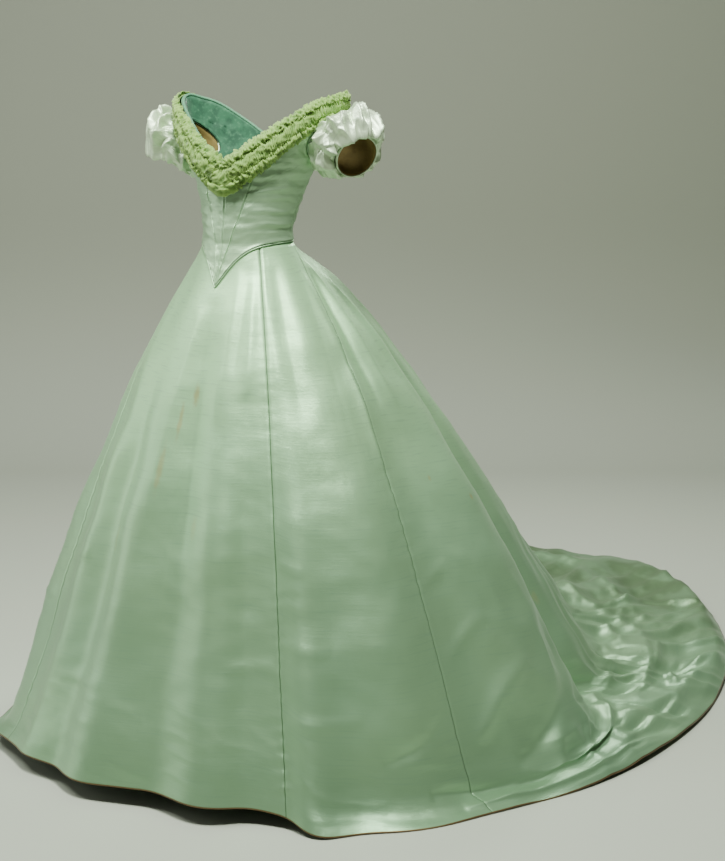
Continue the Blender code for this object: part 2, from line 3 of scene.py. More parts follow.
import bpy
import numpy as np
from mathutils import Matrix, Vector


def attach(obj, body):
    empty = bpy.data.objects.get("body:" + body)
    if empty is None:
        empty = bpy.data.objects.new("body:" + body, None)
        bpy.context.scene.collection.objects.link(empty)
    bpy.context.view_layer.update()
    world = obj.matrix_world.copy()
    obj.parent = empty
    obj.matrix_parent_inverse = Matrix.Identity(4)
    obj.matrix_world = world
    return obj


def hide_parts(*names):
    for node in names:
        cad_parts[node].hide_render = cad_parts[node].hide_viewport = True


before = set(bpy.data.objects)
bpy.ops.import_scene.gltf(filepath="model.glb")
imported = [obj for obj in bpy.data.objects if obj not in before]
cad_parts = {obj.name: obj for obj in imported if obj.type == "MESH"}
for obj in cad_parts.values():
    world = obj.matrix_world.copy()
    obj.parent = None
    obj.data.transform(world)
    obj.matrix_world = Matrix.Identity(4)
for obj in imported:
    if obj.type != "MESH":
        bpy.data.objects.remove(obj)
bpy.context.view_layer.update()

# Camera
# It looks from the front and the wearer's left, a little above the neckline, as the photograph does.
CAMERA_HEIGHT = 1.36
CAMERA_DISTANCE = 3.5
CAMERA_TURN = radians(28.5)
IMAGE_SIZE = (725, 861)
FOCAL_PIXELS = 1690
HORIZON_PIXELS = 333.5
AXIS_PIXELS = 111.5
SENSOR_HEIGHT = 24
WAIST_HEIGHT = 1.07
FLOOR = -WAIST_HEIGHT


def add_object(name, data):
    """A new object with this data, linked into the scene."""
    made = bpy.data.objects.new(name, data)
    bpy.context.scene.collection.objects.link(made)
    return made


backwards = Vector((sin(CAMERA_TURN), -cos(CAMERA_TURN), 0))
sideways = Vector((cos(CAMERA_TURN), sin(CAMERA_TURN), 0))
camera_data = bpy.data.cameras.new("camera")
camera_data.sensor_fit = "VERTICAL"
camera_data.sensor_height = SENSOR_HEIGHT
camera_data.lens = SENSOR_HEIGHT * FOCAL_PIXELS / IMAGE_SIZE[1]
camera = add_object("camera", camera_data)
camera.location = backwards * CAMERA_DISTANCE + sideways * AXIS_PIXELS / FOCAL_PIXELS * CAMERA_DISTANCE
camera.location.z = CAMERA_HEIGHT - WAIST_HEIGHT
camera.rotation_euler = (pi / 2 - atan(HORIZON_PIXELS / FOCAL_PIXELS), 0, CAMERA_TURN)
bpy.context.scene.camera = camera


# Skirt
# Five gores of silk satin, seamed from the waist down, that hang over a hoop and run on into the train.
# Each gore is one closed wall: folds, seam puckers, creases and rumples are worked out on its own surface.
SATIN = 0.0015
SEAM_GAP = 0.0003
FLOOR_GAP = 0.0005
LEAST_GAP = 0.0004
WAIST_INSET = 0.0036
HEM_ROUND = 6.10
REST_START = 0.86
REST_LENGTH = 0.10
SECTIONS = [
    ("height", "half_width", "front", "back", "centre"),
    (-0.120, 0.140, 0.133, 0.125, 0.000),
    (-0.060, 0.112, 0.116, 0.090, 0.000),
    (0.000, 0.096, 0.106, 0.068, 0.000),
    (0.025, 0.0945, 0.105, 0.066, 0.000),
    (0.050, 0.099, 0.103, 0.077, 0.003),
    (0.085, 0.108, 0.103, 0.088, 0.007),
    (0.120, 0.121, 0.105, 0.091, 0.013),
    (0.150, 0.135, 0.108, 0.094, 0.018),
    (0.200, 0.160, 0.112, 0.097, 0.030),
    (0.250, 0.177, 0.110, 0.092, 0.042),
    (0.310, 0.188, 0.103, 0.082, 0.050),
]
SKIRT = [
    ("hem", "waist", "x", "y", "lift", "side", "train", "right_share", "right_lift"),
    (0.00, 0, 0.000, -0.470, 0.035, 0.00, 0.00, 1.000, 0.035),
    (0.20, 26, 0.195, -0.458, 0.034, 0.00, 0.00, 0.985, 0.035),
    (0.34, 45, 0.315, -0.405, 0.022, 0.10, 0.00, 0.960, 0.035),
    (0.42, 57, 0.385, -0.385, 0.004, 0.35, 0.00, 0.935, 0.035),
    (0.53, 72, 0.495, -0.330, 0.000, 0.70, 0.00, 0.890, 0.032),
    (0.75, 108, 0.635, -0.155, 0.000, 1.00, 0.00, 0.860, 0.020),
    (0.98, 122, 0.745, 0.040, 0.000, 1.00, 0.15, 0.860, 0.005),
    (1.22, 132, 0.810, 0.270, 0.000, 1.00, 0.40, 0.880, 0.000),
    (1.50, 141, 0.835, 0.550, 0.000, 1.00, 0.70, 0.910, 0.000),
    (1.73, 148, 0.810, 0.780, 0.000, 1.00, 0.90, 0.930, 0.000),
    (1.98, 155, 0.745, 1.020, 0.000, 1.00, 1.00, 0.950, 0.000),
    (2.25, 162, 0.630, 1.270, 0.000, 1.00, 1.00, 0.965, 0.000),
    (2.49, 168, 0.490, 1.470, 0.000, 1.00, 1.00, 0.980, 0.000),
    (2.77, 174, 0.270, 1.650, 0.000, 1.00, 1.00, 0.995, 0.000),
    (3.05, 180, 0.000, 1.700, 0.000, 1.00, 1.00, 1.000, 0.000),
]
PROFILE = [
    ("down", "front_out", "front_drop", "side_out", "side_drop", "train_out", "train_drop"),
    (0.00, 0.000, 0.000, 0.000, 0.000, 0.000, 0.000),
    (0.06, 0.062, 0.060, 0.085, 0.060, 0.085, 0.062),
    (0.14, 0.172, 0.140, 0.195, 0.140, 0.165, 0.155),
    (0.25, 0.310, 0.250, 0.325, 0.250, 0.240, 0.260),
    (0.38, 0.445, 0.380, 0.458, 0.385, 0.335, 0.400),
    (0.52, 0.575, 0.520, 0.585, 0.530, 0.430, 0.560),
    (0.66, 0.690, 0.660, 0.698, 0.680, 0.515, 0.710),
    (0.78, 0.795, 0.785, 0.790, 0.815, 0.600, 0.850),
    (0.87, 0.880, 0.875, 0.860, 0.925, 0.680, 0.960),
    (0.93, 0.940, 0.935, 0.920, 0.985, 0.800, 0.991),
    (1.00, 1.000, 1.000, 1.000, 1.000, 1.000, 1.000),
]
FOLDS = [
    ("hem", "width", "depth", "start", "full", "floor"),
    (-0.330, 0.055, 0.014, 0.10, 0.60, 1.0),
    (-0.215, 0.050, -0.012, 0.10, 0.60, 1.0),
    (-0.110, 0.060, 0.014, 0.10, 0.60, 1.0),
    (0.040, 0.060, -0.014, 0.10, 0.50, 1.0),
    (0.160, 0.055, 0.010, 0.10, 0.60, 1.0),
    (0.260, 0.050, -0.012, 0.12, 0.70, 1.0),
    (0.420, 0.055, 0.035, 0.15, 1.00, 1.0),
    (0.640, 0.080, 0.012, 0.20, 0.70, 0.3),
    (0.840, 0.090, -0.014, 0.12, 0.60, 0.2),
    (1.150, 0.150, 0.030, 0.10, 0.60, 0.1),
    (1.470, 0.105, -0.085, 0.10, 0.50, 0.0),
    (1.800, 0.140, 0.015, 0.10, 0.50, 0.0),
    (2.250, 0.130, -0.030, 0.08, 0.50, 0.0),
    (2.740, 0.130, -0.024, 0.08, 0.50, 0.0),
    (-0.560, 0.070, 0.014, 0.15, 0.80, 1.0),
    (-0.780, 0.070, -0.014, 0.15, 0.80, 0.3),
    (-1.100, 0.140, 0.028, 0.10, 0.70, 0.1),
    (-1.520, 0.110, -0.075, 0.10, 0.52, 0.0),
    (-1.900, 0.130, 0.018, 0.10, 0.55, 0.0),
    (-2.300, 0.120, -0.032, 0.08, 0.50, 0.0),
    (-2.740, 0.130, -0.024, 0.08, 0.50, 0.0),
]
FLOOR_FOLDS = [
    ("hem", "length", "down", "width", "height"),
    (1.150, 0.300, 0.945, 0.020, 0.014),
    (1.900, 0.140, 0.900, 0.030, 0.022),
    (2.230, 0.130, 0.870, 0.035, 0.024),
    (2.620, 0.100, 0.900, 0.050, 0.020),
    (3.050, 0.160, 0.945, 0.030, 0.016),
    (-2.650, 0.250, 0.900, 0.030, 0.018),
    (-2.100, 0.200, 0.945, 0.025, 0.016),
    (-1.300, 0.250, 0.945, 0.020, 0.012),
]


def smooth(keys, values, at):
    """A cubic through the rows of a table: keys rise, values may have several columns."""
    keys = np.asarray(keys, float)
    values = np.asarray(values, float)
    at = np.clip(np.asarray(at, float), keys[0], keys[-1])
    slopes = np.gradient(values, keys, axis=0)
    row = np.clip(np.searchsorted(keys, at, side="right") - 1, 0, len(keys) - 2)
    span = keys[row + 1] - keys[row]
    t = (at - keys[row]) / span
    if values.ndim > 1:
        t, span = t[..., None], span[..., None]
    rise = values[row + 1] - values[row]
    start, end = slopes[row] * span, slopes[row + 1] * span
    return values[row] + t * (start + t * (3 * rise - 2 * start - end + t * (start + end - 2 * rise)))


def column(table, *names):
    """Named columns of a table whose first row holds the names."""
    places = [table[0].index(name) for name in names]
    picked = np.array([[row[i] for i in places] for row in table[1:]], float)
    return picked[:, 0] if len(names) == 1 else picked


def table_at(table, at):
    """A table's other columns, smooth between its rows, at these values of its first column."""
    return smooth(column(table, table[0][0]), column(table, *table[0][1:]), at)


def unit(vectors):
    """The same directions, each one long."""
    return vectors / np.maximum(np.linalg.norm(vectors, axis=-1, keepdims=True), 1e-12)


def body(angle, height):
    """A point of the body's surface: angle 0 is the front, and positive angles go to the wearer's left."""
    half_width, front, back, centre = np.moveaxis(table_at(SECTIONS, height), -1, 0)
    depth = np.where(np.cos(angle) > 0, front, back)
    return np.stack([half_width * np.sin(angle), centre - depth * np.cos(angle), height + 0 * angle], -1)


def profile_shares(down, side, train):
    """How far out and down the cloth is at this share of its length: a mix of the three profiles."""
    shares = table_at(PROFILE, down)
    front, flank, back = shares[..., 0:2], shares[..., 2:4], shares[..., 4:6]
    mixed = front + (flank - front) * side[..., None]
    mixed = mixed + (back - mixed) * train[..., None]
    return mixed[..., 0], mixed[..., 1]


def apart(hem, place):
    """Distance along the hem between two places, the shorter way round."""
    away = np.abs(hem - place)
    return np.minimum(away, HEM_ROUND - away)


def fold_depth(hem, down):
    """Sum of the folds: a bell curve across each, growing from its start and eased off on the floor."""
    depth = 0 * hem
    for place, width, height, start, full, floor in column(FOLDS, *FOLDS[0]):
        grow = np.clip((down - start) / (full - start), 0, 1)
        rest = np.clip((down - REST_START) / REST_LENGTH, 0, 1)
        grow = grow * grow * (3 - 2 * grow) * (1 - (1 - floor) * rest)
        depth = depth + height * grow * np.exp(-((apart(hem, place) / width) ** 2))
    return depth


def floor_lump(hem, down):
    """Height of the folds that lie raised on the train: a bell curve along and across each."""
    raised = 0 * hem
    for place, length, low, width, height in column(FLOOR_FOLDS, *FLOOR_FOLDS[0]):
        away = apart(hem, place)
        raised = raised + height * np.exp(-((away / length) ** 2) - ((down - low) / width) ** 2)
    return raised


def skirt_base(hem, down):
    """The skirt's surface before its folds: positive hem distances go to the wearer's left."""
    hem = (hem + HEM_ROUND / 2) % HEM_ROUND - HEM_ROUND / 2
    right = hem < 0
    row = np.moveaxis(table_at(SKIRT, np.abs(hem)), -1, 0)
    waist, x, y, lift, side, train, right_share, right_lift = row
    angle = np.radians(waist) * np.where(right, -1, 1)
    out, drop = profile_shares(down, side, train)
    start = body(angle, 0 * hem)
    start = start - WAIST_INSET * unit(start * [1, 1, 0])
    end_x = np.where(right, -x * right_share, x)
    bottom = FLOOR + SATIN + FLOOR_GAP + np.where(right, right_lift, lift)
    return np.stack([
        start[..., 0] + (end_x - start[..., 0]) * out,
        start[..., 1] + (y - start[..., 1]) * out,
        bottom * drop,
    ], -1)


def skirt(hem, down):
    """The draped surface: the base, moved out by its folds and up by those that lie on the floor."""
    step = 1e-4
    base = skirt_base(hem, down)
    along = skirt_base(hem + step, down) - skirt_base(hem - step, down)
    outward = unit(np.stack([along[..., 1], -along[..., 0], 0 * hem], -1))
    lump = floor_lump(hem, down)
    return base + outward * fold_depth(hem, down)[..., None] + np.stack([0 * lump, 0 * lump, lump], -1)


def skirt_normal(hem, down):
    """Square to the draped surface, outwards, from small steps down it and along the hem."""
    step = 1e-3
    hem_step = skirt(hem + step, down) - skirt(hem - step, down)
    down_step = skirt(hem, down + step) - skirt(hem, down - step)
    return unit(np.cross(down_step, hem_step))


# Detail finer than the solids: seams that draw the silk up, creases, rumples and the train's heaps.
# Each place is a hem distance and a share of the way down, read from the photograph.
SEAM_FADE = 0.018
SEAM_PUCKER = 1.6
GROOVE_DEPTH = 0.0011
GROOVE_WIDTH = 0.0025
RIDGE_HEIGHT = 0.0003
RIDGE_AWAY = 0.0065
RIDGE_WIDTH = 0.003
HEM_CALM = 0.10
HEM_FLAT = 0.03
SEAMS = [
    ("hem", "pucker", "spacing"),
    (-0.800, 0.0005, 0.034),
    (-0.450, 0.0006, 0.030),
    (0.345, 0.0008, 0.026),
    (0.750, 0.0006, 0.033),
    (3.050, 0.0005, 0.036),
]
CREASES = [
    ("hem", "down", "end_hem", "end_down", "width", "height"),
    (-0.463, 0.040, -0.300, 0.360, 0.030, 0.0030),
    (-0.300, 0.360, -0.345, 0.700, 0.034, 0.0026),
    (0.024, 0.104, 0.039, 0.584, 0.018, -0.0035),
    (-0.060, 0.120, -0.085, 0.560, 0.014, 0.0030),
    (0.290, 0.060, 0.247, 0.282, 0.016, 0.0034),
    (0.250, 0.040, 0.190, 0.240, 0.014, -0.0020),
    (0.190, 0.050, 0.110, 0.330, 0.018, 0.0024),
    (0.360, 0.030, 0.400, 0.260, 0.016, 0.0022),
    (0.450, 0.040, 0.480, 0.330, 0.016, -0.0020),
    (0.672, 0.060, 0.734, 0.214, 0.014, 0.0034),
    (0.734, 0.214, 0.745, 0.400, 0.014, 0.0040),
    (0.830, 0.050, 0.860, 0.300, 0.011, -0.0045),
    (0.960, 0.040, 0.980, 0.300, 0.012, 0.0040),
    (1.240, 0.060, 1.250, 0.300, 0.012, 0.0045),
    (1.330, 0.100, 1.330, 0.640, 0.016, 0.0050),
    (-0.660, 0.060, -0.640, 0.400, 0.014, 0.0040),
    (-0.930, 0.050, -0.920, 0.350, 0.013, -0.0040),
    (-1.250, 0.060, -1.240, 0.420, 0.014, 0.0045),
    (-1.380, 0.100, -1.380, 0.600, 0.016, 0.0050),
    (-2.050, 0.060, -2.060, 0.400, 0.016, 0.0050),
    (2.050, 0.060, 2.080, 0.420, 0.016, 0.0045),
    (2.550, 0.060, 2.520, 0.420, 0.016, -0.0045),
    (-2.500, 0.060, -2.520, 0.420, 0.016, -0.0045),
    (0.345, 0.700, 0.470, 0.690, 0.008, 0.0020),
    (0.350, 0.560, 0.430, 0.565, 0.007, 0.0020),
    (0.348, 0.620, 0.420, 0.610, 0.006, -0.0018),
    (0.350, 0.820, 0.520, 0.795, 0.010, 0.0026),
    (0.200, 0.760, 0.340, 0.745, 0.009, 0.0022),
    (0.560, 0.860, 0.740, 0.800, 0.012, -0.0030),
    (0.760, 0.600, 0.900, 0.570, 0.010, 0.0026),
    (0.780, 0.720, 0.960, 0.660, 0.012, 0.0032),
    (0.800, 0.850, 1.040, 0.740, 0.020, 0.0060),
    (0.900, 0.900, 1.180, 0.800, 0.018, -0.0050),
    (0.640, 0.905, 0.880, 0.930, 0.012, -0.0070),
    (0.880, 0.930, 1.250, 0.942, 0.012, -0.0080),
    (1.250, 0.942, 1.540, 0.965, 0.010, -0.0070),
    (0.700, 0.960, 1.250, 0.968, 0.012, 0.0070),
    (1.187, 0.815, 1.443, 0.909, 0.007, -0.0040),
    (1.443, 0.909, 1.457, 0.990, 0.006, -0.0035),
    (1.192, 0.850, 1.095, 0.950, 0.007, 0.0040),
    (1.740, 0.937, 1.620, 0.860, 0.010, 0.0080),
    (1.760, 0.930, 1.700, 0.840, 0.009, -0.0070),
    (1.790, 0.925, 1.790, 0.840, 0.008, 0.0070),
    (1.830, 0.915, 1.900, 0.850, 0.010, -0.0060),
    (1.770, 0.945, 1.640, 0.960, 0.010, 0.0070),
    (1.780, 0.955, 1.860, 0.990, 0.010, 0.0060),
    (1.830, 0.930, 2.020, 0.940, 0.012, 0.0080),
    (1.950, 0.900, 2.250, 0.890, 0.022, 0.0100),
    (2.450, 0.890, 2.459, 0.951, 0.016, 0.0090),
    (2.459, 0.951, 2.303, 0.993, 0.014, 0.0080),
    (2.600, 0.870, 2.850, 0.960, 0.020, 0.0080),
    (2.900, 0.880, 3.050, 0.960, 0.022, -0.0070),
    (-2.850, 0.880, -2.600, 0.970, 0.020, 0.0090),
    (-2.300, 0.900, -2.000, 0.960, 0.018, 0.0080),
    (-1.700, 0.900, -1.450, 0.960, 0.016, 0.0070),
    (-1.150, 0.800, -0.950, 0.900, 0.018, 0.0050),
    (-0.620, 0.700, -0.480, 0.690, 0.009, 0.0024),
    (-0.300, 0.830, -0.120, 0.820, 0.010, 0.0024),
    (-0.420, 0.620, -0.300, 0.600, 0.008, 0.0018),
]
RUMPLES = [
    ("wide", "high", "height", "seed"),
    (0.190, 0.240, 0.0024, 1),
    (0.070, 0.050, 0.0004, 2),
    (0.026, 0.020, 0.0001, 3),
]
HEAPS = [
    ("from_side", "to_side", "from_down", "to_down", "run", "drop", "size", "height", "seed"),
    (0.90, 1.25, 0.83, 0.92, 0.34, 3.0, 0.300, 0.0135, 11),
    (0.90, 1.25, 0.83, 0.92, 0.50, 3.4, 0.130, 0.0030, 12),
    (0.72, 1.00, 0.50, 0.84, 0.70, 0.9, 0.150, 0.0058, 13),
    (-1.00, -0.50, 0.20, 0.60, 0.60, 1.4, 0.110, 0.0005, 14),
]
GORES = [
    ("name", "first", "last", "columns", "cut", "area"),
    ("skirt_front", -0.450, 0.345, 136, (0.80, 1.20), 0.55),
    ("skirt_side_left", 0.345, 0.750, 78, (0.42, 1.30), 0.32),
    ("skirt_back_left", 0.750, 3.050, 232, (2.30, 2.20), 1.90),
    ("skirt_side_right", -0.800, -0.450, 54, (0.36, 1.30), 0.25),
    ("skirt_back_right", -3.050, -0.800, 156, (2.25, 2.20), 1.78),
]
GORE_ROWS = 148
GORE_LENGTH = 1.25
TRAIN_START = 0.82
TRAIN_ROWS = 2.2
CREASE_STATIONS = 9
CREASE_DEPTH = 1.4
RUMPLE_WAVES = 12
EDGE_STEPS = np.array([0.0, 0.0015, 0.0035, 0.0065, 0.0105])
BUSY_HEM = 1.55
BUSY_REACH = 0.50


def rumple(points, wide, high, seed):
    """Soft uneven hills about 1 high: waves in scattered directions, longer across than they are high."""
    draw = np.random.default_rng(seed)
    total = np.zeros(points.shape[:-1])
    for _ in range(RUMPLE_WAVES):
        heading = unit(draw.normal(size=3)) / [wide, wide, high] * draw.uniform(0.6, 1.5)
        path = points @ heading * 2 * pi + draw.uniform(0, 2 * pi)
        total = total + np.sin(path + 0.8 * np.sin(0.31 * path + draw.uniform(0, 2 * pi)))
    return total / 4


def crests(points, size, seed):
    """Sharp crests between soft hollows, from -1 to 1: where soft hills cross zero, a crest stands."""
    return np.clip(1 - 1.9 * np.abs(rumple(points, size, size, seed)), -1, 1)


def crease_height(points, creases, surface, crest=1.6):
    """Height of the creases: across each a bell curve, sharper for a small crest, that fades to both ends.

    A crease's ends are two places on the surface, which gives a point for each place.
    """
    flat = points.reshape(-1, 3)
    total = np.zeros(len(flat))
    share = np.linspace(0, 1, CREASE_STATIONS)
    for start_u, start_v, end_u, end_v, width, height in creases:
        sway = np.sin(2.4 * pi * share + 40 * start_u) * 0.04
        path = surface(start_u + (end_u - start_u) * (share + sway), start_v + (end_v - start_v) * share)
        near = ((flat > path.min(0) - 4 * width) & (flat < path.max(0) + 4 * width)).all(1)
        close = flat[near]
        nearest = np.full(len(close), np.inf)
        place = np.zeros(len(close))
        for station in range(CREASE_STATIONS - 1):
            start, run = path[station], path[station + 1] - path[station]
            t = np.clip((close - start) @ run / (run @ run), 0, 1)
            reach = np.linalg.norm(close - start - t[:, None] * run, axis=1)
            better = reach < nearest
            nearest[better] = reach[better]
            place[better] = (station + t[better]) / (CREASE_STATIONS - 1)
        fade = np.sqrt(np.clip(4 * place * (1 - place), 0, 1))
        total[near] += height * np.exp(-((nearest / width) ** crest)) * fade
    return total.reshape(points.shape[:-1])


def seam_height(hem, pace, along):
    """A sunk line at each seam, with the ripples that its stitching draws up on both sides."""
    total = 0 * hem
    for place, pucker, spacing in column(SEAMS, *SEAMS[0]):
        away = apart(hem, place) * pace
        drawn = 0.7 + 0.6 * np.sin(11 * along + 5 * place) * np.sin(4.3 * along + 2)
        wave = np.sin(2 * pi * along / spacing + 1.5 * np.sin(9 * along + place))
        ripple = SEAM_PUCKER * pucker * drawn * wave * np.exp(-away / SEAM_FADE)
        total = total + ripple * np.clip(along * 5, 0, 1)
        total = total - GROOVE_DEPTH * np.exp(-((away / GROOVE_WIDTH) ** 2))
        total = total + RIDGE_HEIGHT * np.exp(-(((away - RIDGE_AWAY) / RIDGE_WIDTH) ** 2))
    return total


def skirt_cloth(hem, down):
    """The finished surface, bottom row first: the draped gore, moved along its normal by its detail.

    Returns the points, the cloth's width for each metre of hem distance, and the distance from the hem.
    """
    step = 1e-3
    points = skirt(hem, down)
    pace = np.linalg.norm(skirt(hem + step, down) - skirt(hem - step, down), axis=-1) / (2 * step)
    lengths = np.linalg.norm(np.diff(points, axis=0), axis=-1)
    from_hem = np.concatenate([0 * hem[:1], np.cumsum(lengths, axis=0)])
    along = from_hem[-1] - from_hem
    height = CREASE_DEPTH * crease_height(points, column(CREASES, *CREASES[0]), skirt)
    height = height + seam_height(hem, pace, along) * np.clip(0.2 + from_hem / HEM_CALM, 0, 1)
    for wide, high, swell, seed in column(RUMPLES, *RUMPLES[0]):
        height = height + swell * rumple(points, wide, high, int(seed)) * np.clip(along * 3, 0, 1)
    turn = 2 * pi * hem / HEM_ROUND
    for from_side, to_side, from_down, to_down, run, drop, size, swell, seed in column(HEAPS, *HEAPS[0]):
        share = np.clip((np.abs(hem) - from_side) / (to_side - from_side), 0, 1)
        share = share * np.clip((down - from_down) / (to_down - from_down), 0, 1)
        ring = run * HEM_ROUND / (2 * pi)
        laid = np.stack([ring * np.sin(turn), ring * np.cos(turn), down * drop], -1)
        height = height + swell * share * (1 + crests(laid, size, int(seed)))
    height = height * (0.35 + 0.65 * np.clip(from_hem / HEM_FLAT, 0, 1))
    points = points + skirt_normal(hem, down) * height[..., None]
    points[..., 2] = np.maximum(points[..., 2], FLOOR + SATIN + LEAST_GAP)
    return points, pace, from_hem


def spread(first, last, count, weight):
    """Places from first to last, closer together where the weight of the place is greater."""
    fine = np.linspace(first, last, 2001)
    total = np.concatenate([[0], np.cumsum((weight(fine[1:]) + weight(fine[:-1])) / 2)])
    return np.interp(np.linspace(0, total[-1], count), total, fine)


def grid_normals(points, closed=False):
    """Unit normals of a grid whose rows run up and whose columns run to the wearer's left."""
    if closed:
        across = np.roll(points, -1, 1) - np.roll(points, 1, 1)
    else:
        across = np.gradient(points, axis=1)
    return unit(np.cross(across, np.gradient(points, axis=0)))


def add_mesh(name, points, faces, flat, finish, smooth_faces):
    """An object from points, four-sided faces and the place on the flat cloth of each face's corners.

    The first smooth_faces faces are shaded smooth and the rest flat.
    """
    mesh = bpy.data.meshes.new(name)
    mesh.vertices.add(len(points))
    mesh.vertices.foreach_set("co", points.astype(np.float32).ravel())
    mesh.loops.add(faces.size)
    mesh.loops.foreach_set("vertex_index", faces.astype(np.int32).ravel())
    mesh.polygons.add(len(faces))
    mesh.polygons.foreach_set("loop_start", np.arange(0, faces.size, 4, dtype=np.int32))
    mesh.update(calc_edges=True)
    uv = mesh.uv_layers.new(name="cloth")
    uv.data.foreach_set("uv", flat.astype(np.float32).ravel())
    mesh.polygons.foreach_set("use_smooth", np.arange(len(faces)) < smooth_faces)
    mesh.materials.append(finish)
    mesh.validate()
    return add_object(name, mesh)


def wall(name, points, thickness, finish, cloth, around=0, marks=None):
    """A closed wall from a grid of outer points: the same grid moved inwards, and a rim between the two.

    cloth gives each point's place on the flat cloth, in metres, which becomes the UV map. around is the
    cloth's length round a grid whose last column meets its first. marks are named values of each point,
    for the material.
    """
    closed = around > 0
    rows, columns = points.shape[:2]
    outer = points.reshape(-1, 3)
    inner = outer - grid_normals(points, closed).reshape(-1, 3) * thickness
    across = columns if closed else columns - 1
    row, col = np.meshgrid(np.arange(rows - 1), np.arange(across), indexing="ij")
    here, right = row * columns + col, row * columns + (col + 1) % columns
    quads = np.stack([here, right, right + columns, here + columns], -1).reshape(-1, 4)
    half = rows * columns
    edges = np.concatenate([quads[:, [0, 1]], quads[:, [1, 2]], quads[:, [2, 3]], quads[:, [3, 0]]])
    edges_sorted = np.sort(edges, axis=1)
    _, index, count = np.unique(edges_sorted, axis=0, return_inverse=True, return_counts=True)
    rim = edges[count[index.reshape(-1)] == 1]
    rim = np.stack([rim[:, 1], rim[:, 0], rim[:, 0] + half, rim[:, 1] + half], -1)
    faces = np.concatenate([quads, quads[:, ::-1] + half, rim])
    flat = np.concatenate([cloth.reshape(-1, 2)] * 2)[faces]
    last = np.tile(col.ravel() == columns - 1, 2)
    flat[:2 * len(quads)][last, 1:3, 0] += around
    made = add_mesh(name, np.concatenate([outer, inner]), faces, flat, finish, 2 * len(quads))
    for mark, values in (marks or {}).items():
        stored = made.data.attributes.new(mark, "FLOAT", "POINT")
        stored.data.foreach_set("value", np.tile(values.ravel(), 2).astype(np.float32))
    return made


class Wire:
    """A shader socket that can be used in sums."""

    def __init__(self, tree, socket):
        self.tree, self.socket = tree, socket

    def node(self, kind, *inputs, out=0, **settings):
        """Any other node, fed by these inputs in order; a None leaves that input as it is."""
        made = self.tree.nodes.new(kind)
        for name, value in settings.items():
            setattr(made, name, value)
        for socket, value in zip(made.inputs, inputs):
            if isinstance(value, Wire):
                self.tree.links.new(value.socket, socket)
            elif value is not None:
                socket.default_value = value
        return Wire(self.tree, made.outputs[out])

    def maths(self, operation, *inputs):
        return self.node("ShaderNodeMath", *inputs, operation=operation)

    def __add__(self, other):
        return self.maths("ADD", self, other)

    def __sub__(self, other):
        return self.maths("SUBTRACT", self, other)

    def __rsub__(self, other):
        return self.maths("SUBTRACT", other, self)

    def __mul__(self, other):
        return self.maths("MULTIPLY", self, other)

    __radd__ = __add__
    __rmul__ = __mul__

    def vector(self, operation, *inputs, out=0):
        return self.node("ShaderNodeVectorMath", self, *inputs, operation=operation, out=out)

    def axis(self, number):
        """This place's x, y or z, for 0, 1 or 2."""
        return self.node("ShaderNodeSeparateXYZ", self, out=number)

    def mark(self, name):
        """A named value that the mesh keeps for each point."""
        return self.node("ShaderNodeAttribute", attribute_name=name, out=2)

    def feed(self, node, name):
        self.tree.links.new(self.socket, node.inputs[name])

    def between(self, low, high):
        """0 at low and 1 at high, smooth between, and held beyond them."""
        return self.node("ShaderNodeMapRange", self, low, high, 0.0, 1.0, interpolation_type="SMOOTHSTEP")

    def mix(self, first, second):
        """The first colour where this is 0 and the second where it is 1."""
        made = self.tree.nodes.new("ShaderNodeMix")
        made.data_type = "RGBA"
        for place, value in ((0, self), (6, first), (7, second)):
            if isinstance(value, Wire):
                self.tree.links.new(value.socket, made.inputs[place])
            else:
                made.inputs[place].default_value = (*value, 1)
        return Wire(self.tree, made.outputs[2])

    def noise(self, scale, detail=3.0, stretch=(1, 1, 1)):
        """Noise from 0 to 1 at this place; stretch scales the place along each axis first."""
        place = self.vector("MULTIPLY", stretch)
        return self.node("ShaderNodeTexNoise", place, None, scale, detail, 0.55)


def new_finish(name, roughness, **constants):
    """A material with its Principled shader, its UV place and its place in the row frame."""
    made = bpy.data.materials.new(name)
    made.use_nodes = True
    tree = made.node_tree
    shader = tree.nodes["Principled BSDF"]
    shader.inputs["Roughness"].default_value = roughness
    for key, value in constants.items():
        shader.inputs[key.replace("_", " ")].default_value = value
    coords = tree.nodes.new("ShaderNodeTexCoord")
    return made, shader, Wire(tree, coords.outputs["UV"]), Wire(tree, coords.outputs["Object"])


def wear(shader, colour, height, strength, distance):
    """Joins a colour and a bump height to the shader."""
    colour.feed(shader, "Base Color")
    bump = colour.tree.nodes.new("ShaderNodeBump")
    bump.inputs["Strength"].default_value = strength
    bump.inputs["Distance"].default_value = distance
    height.feed(bump, "Height")
    Wire(colour.tree, bump.outputs["Normal"]).feed(shader, "Normal")


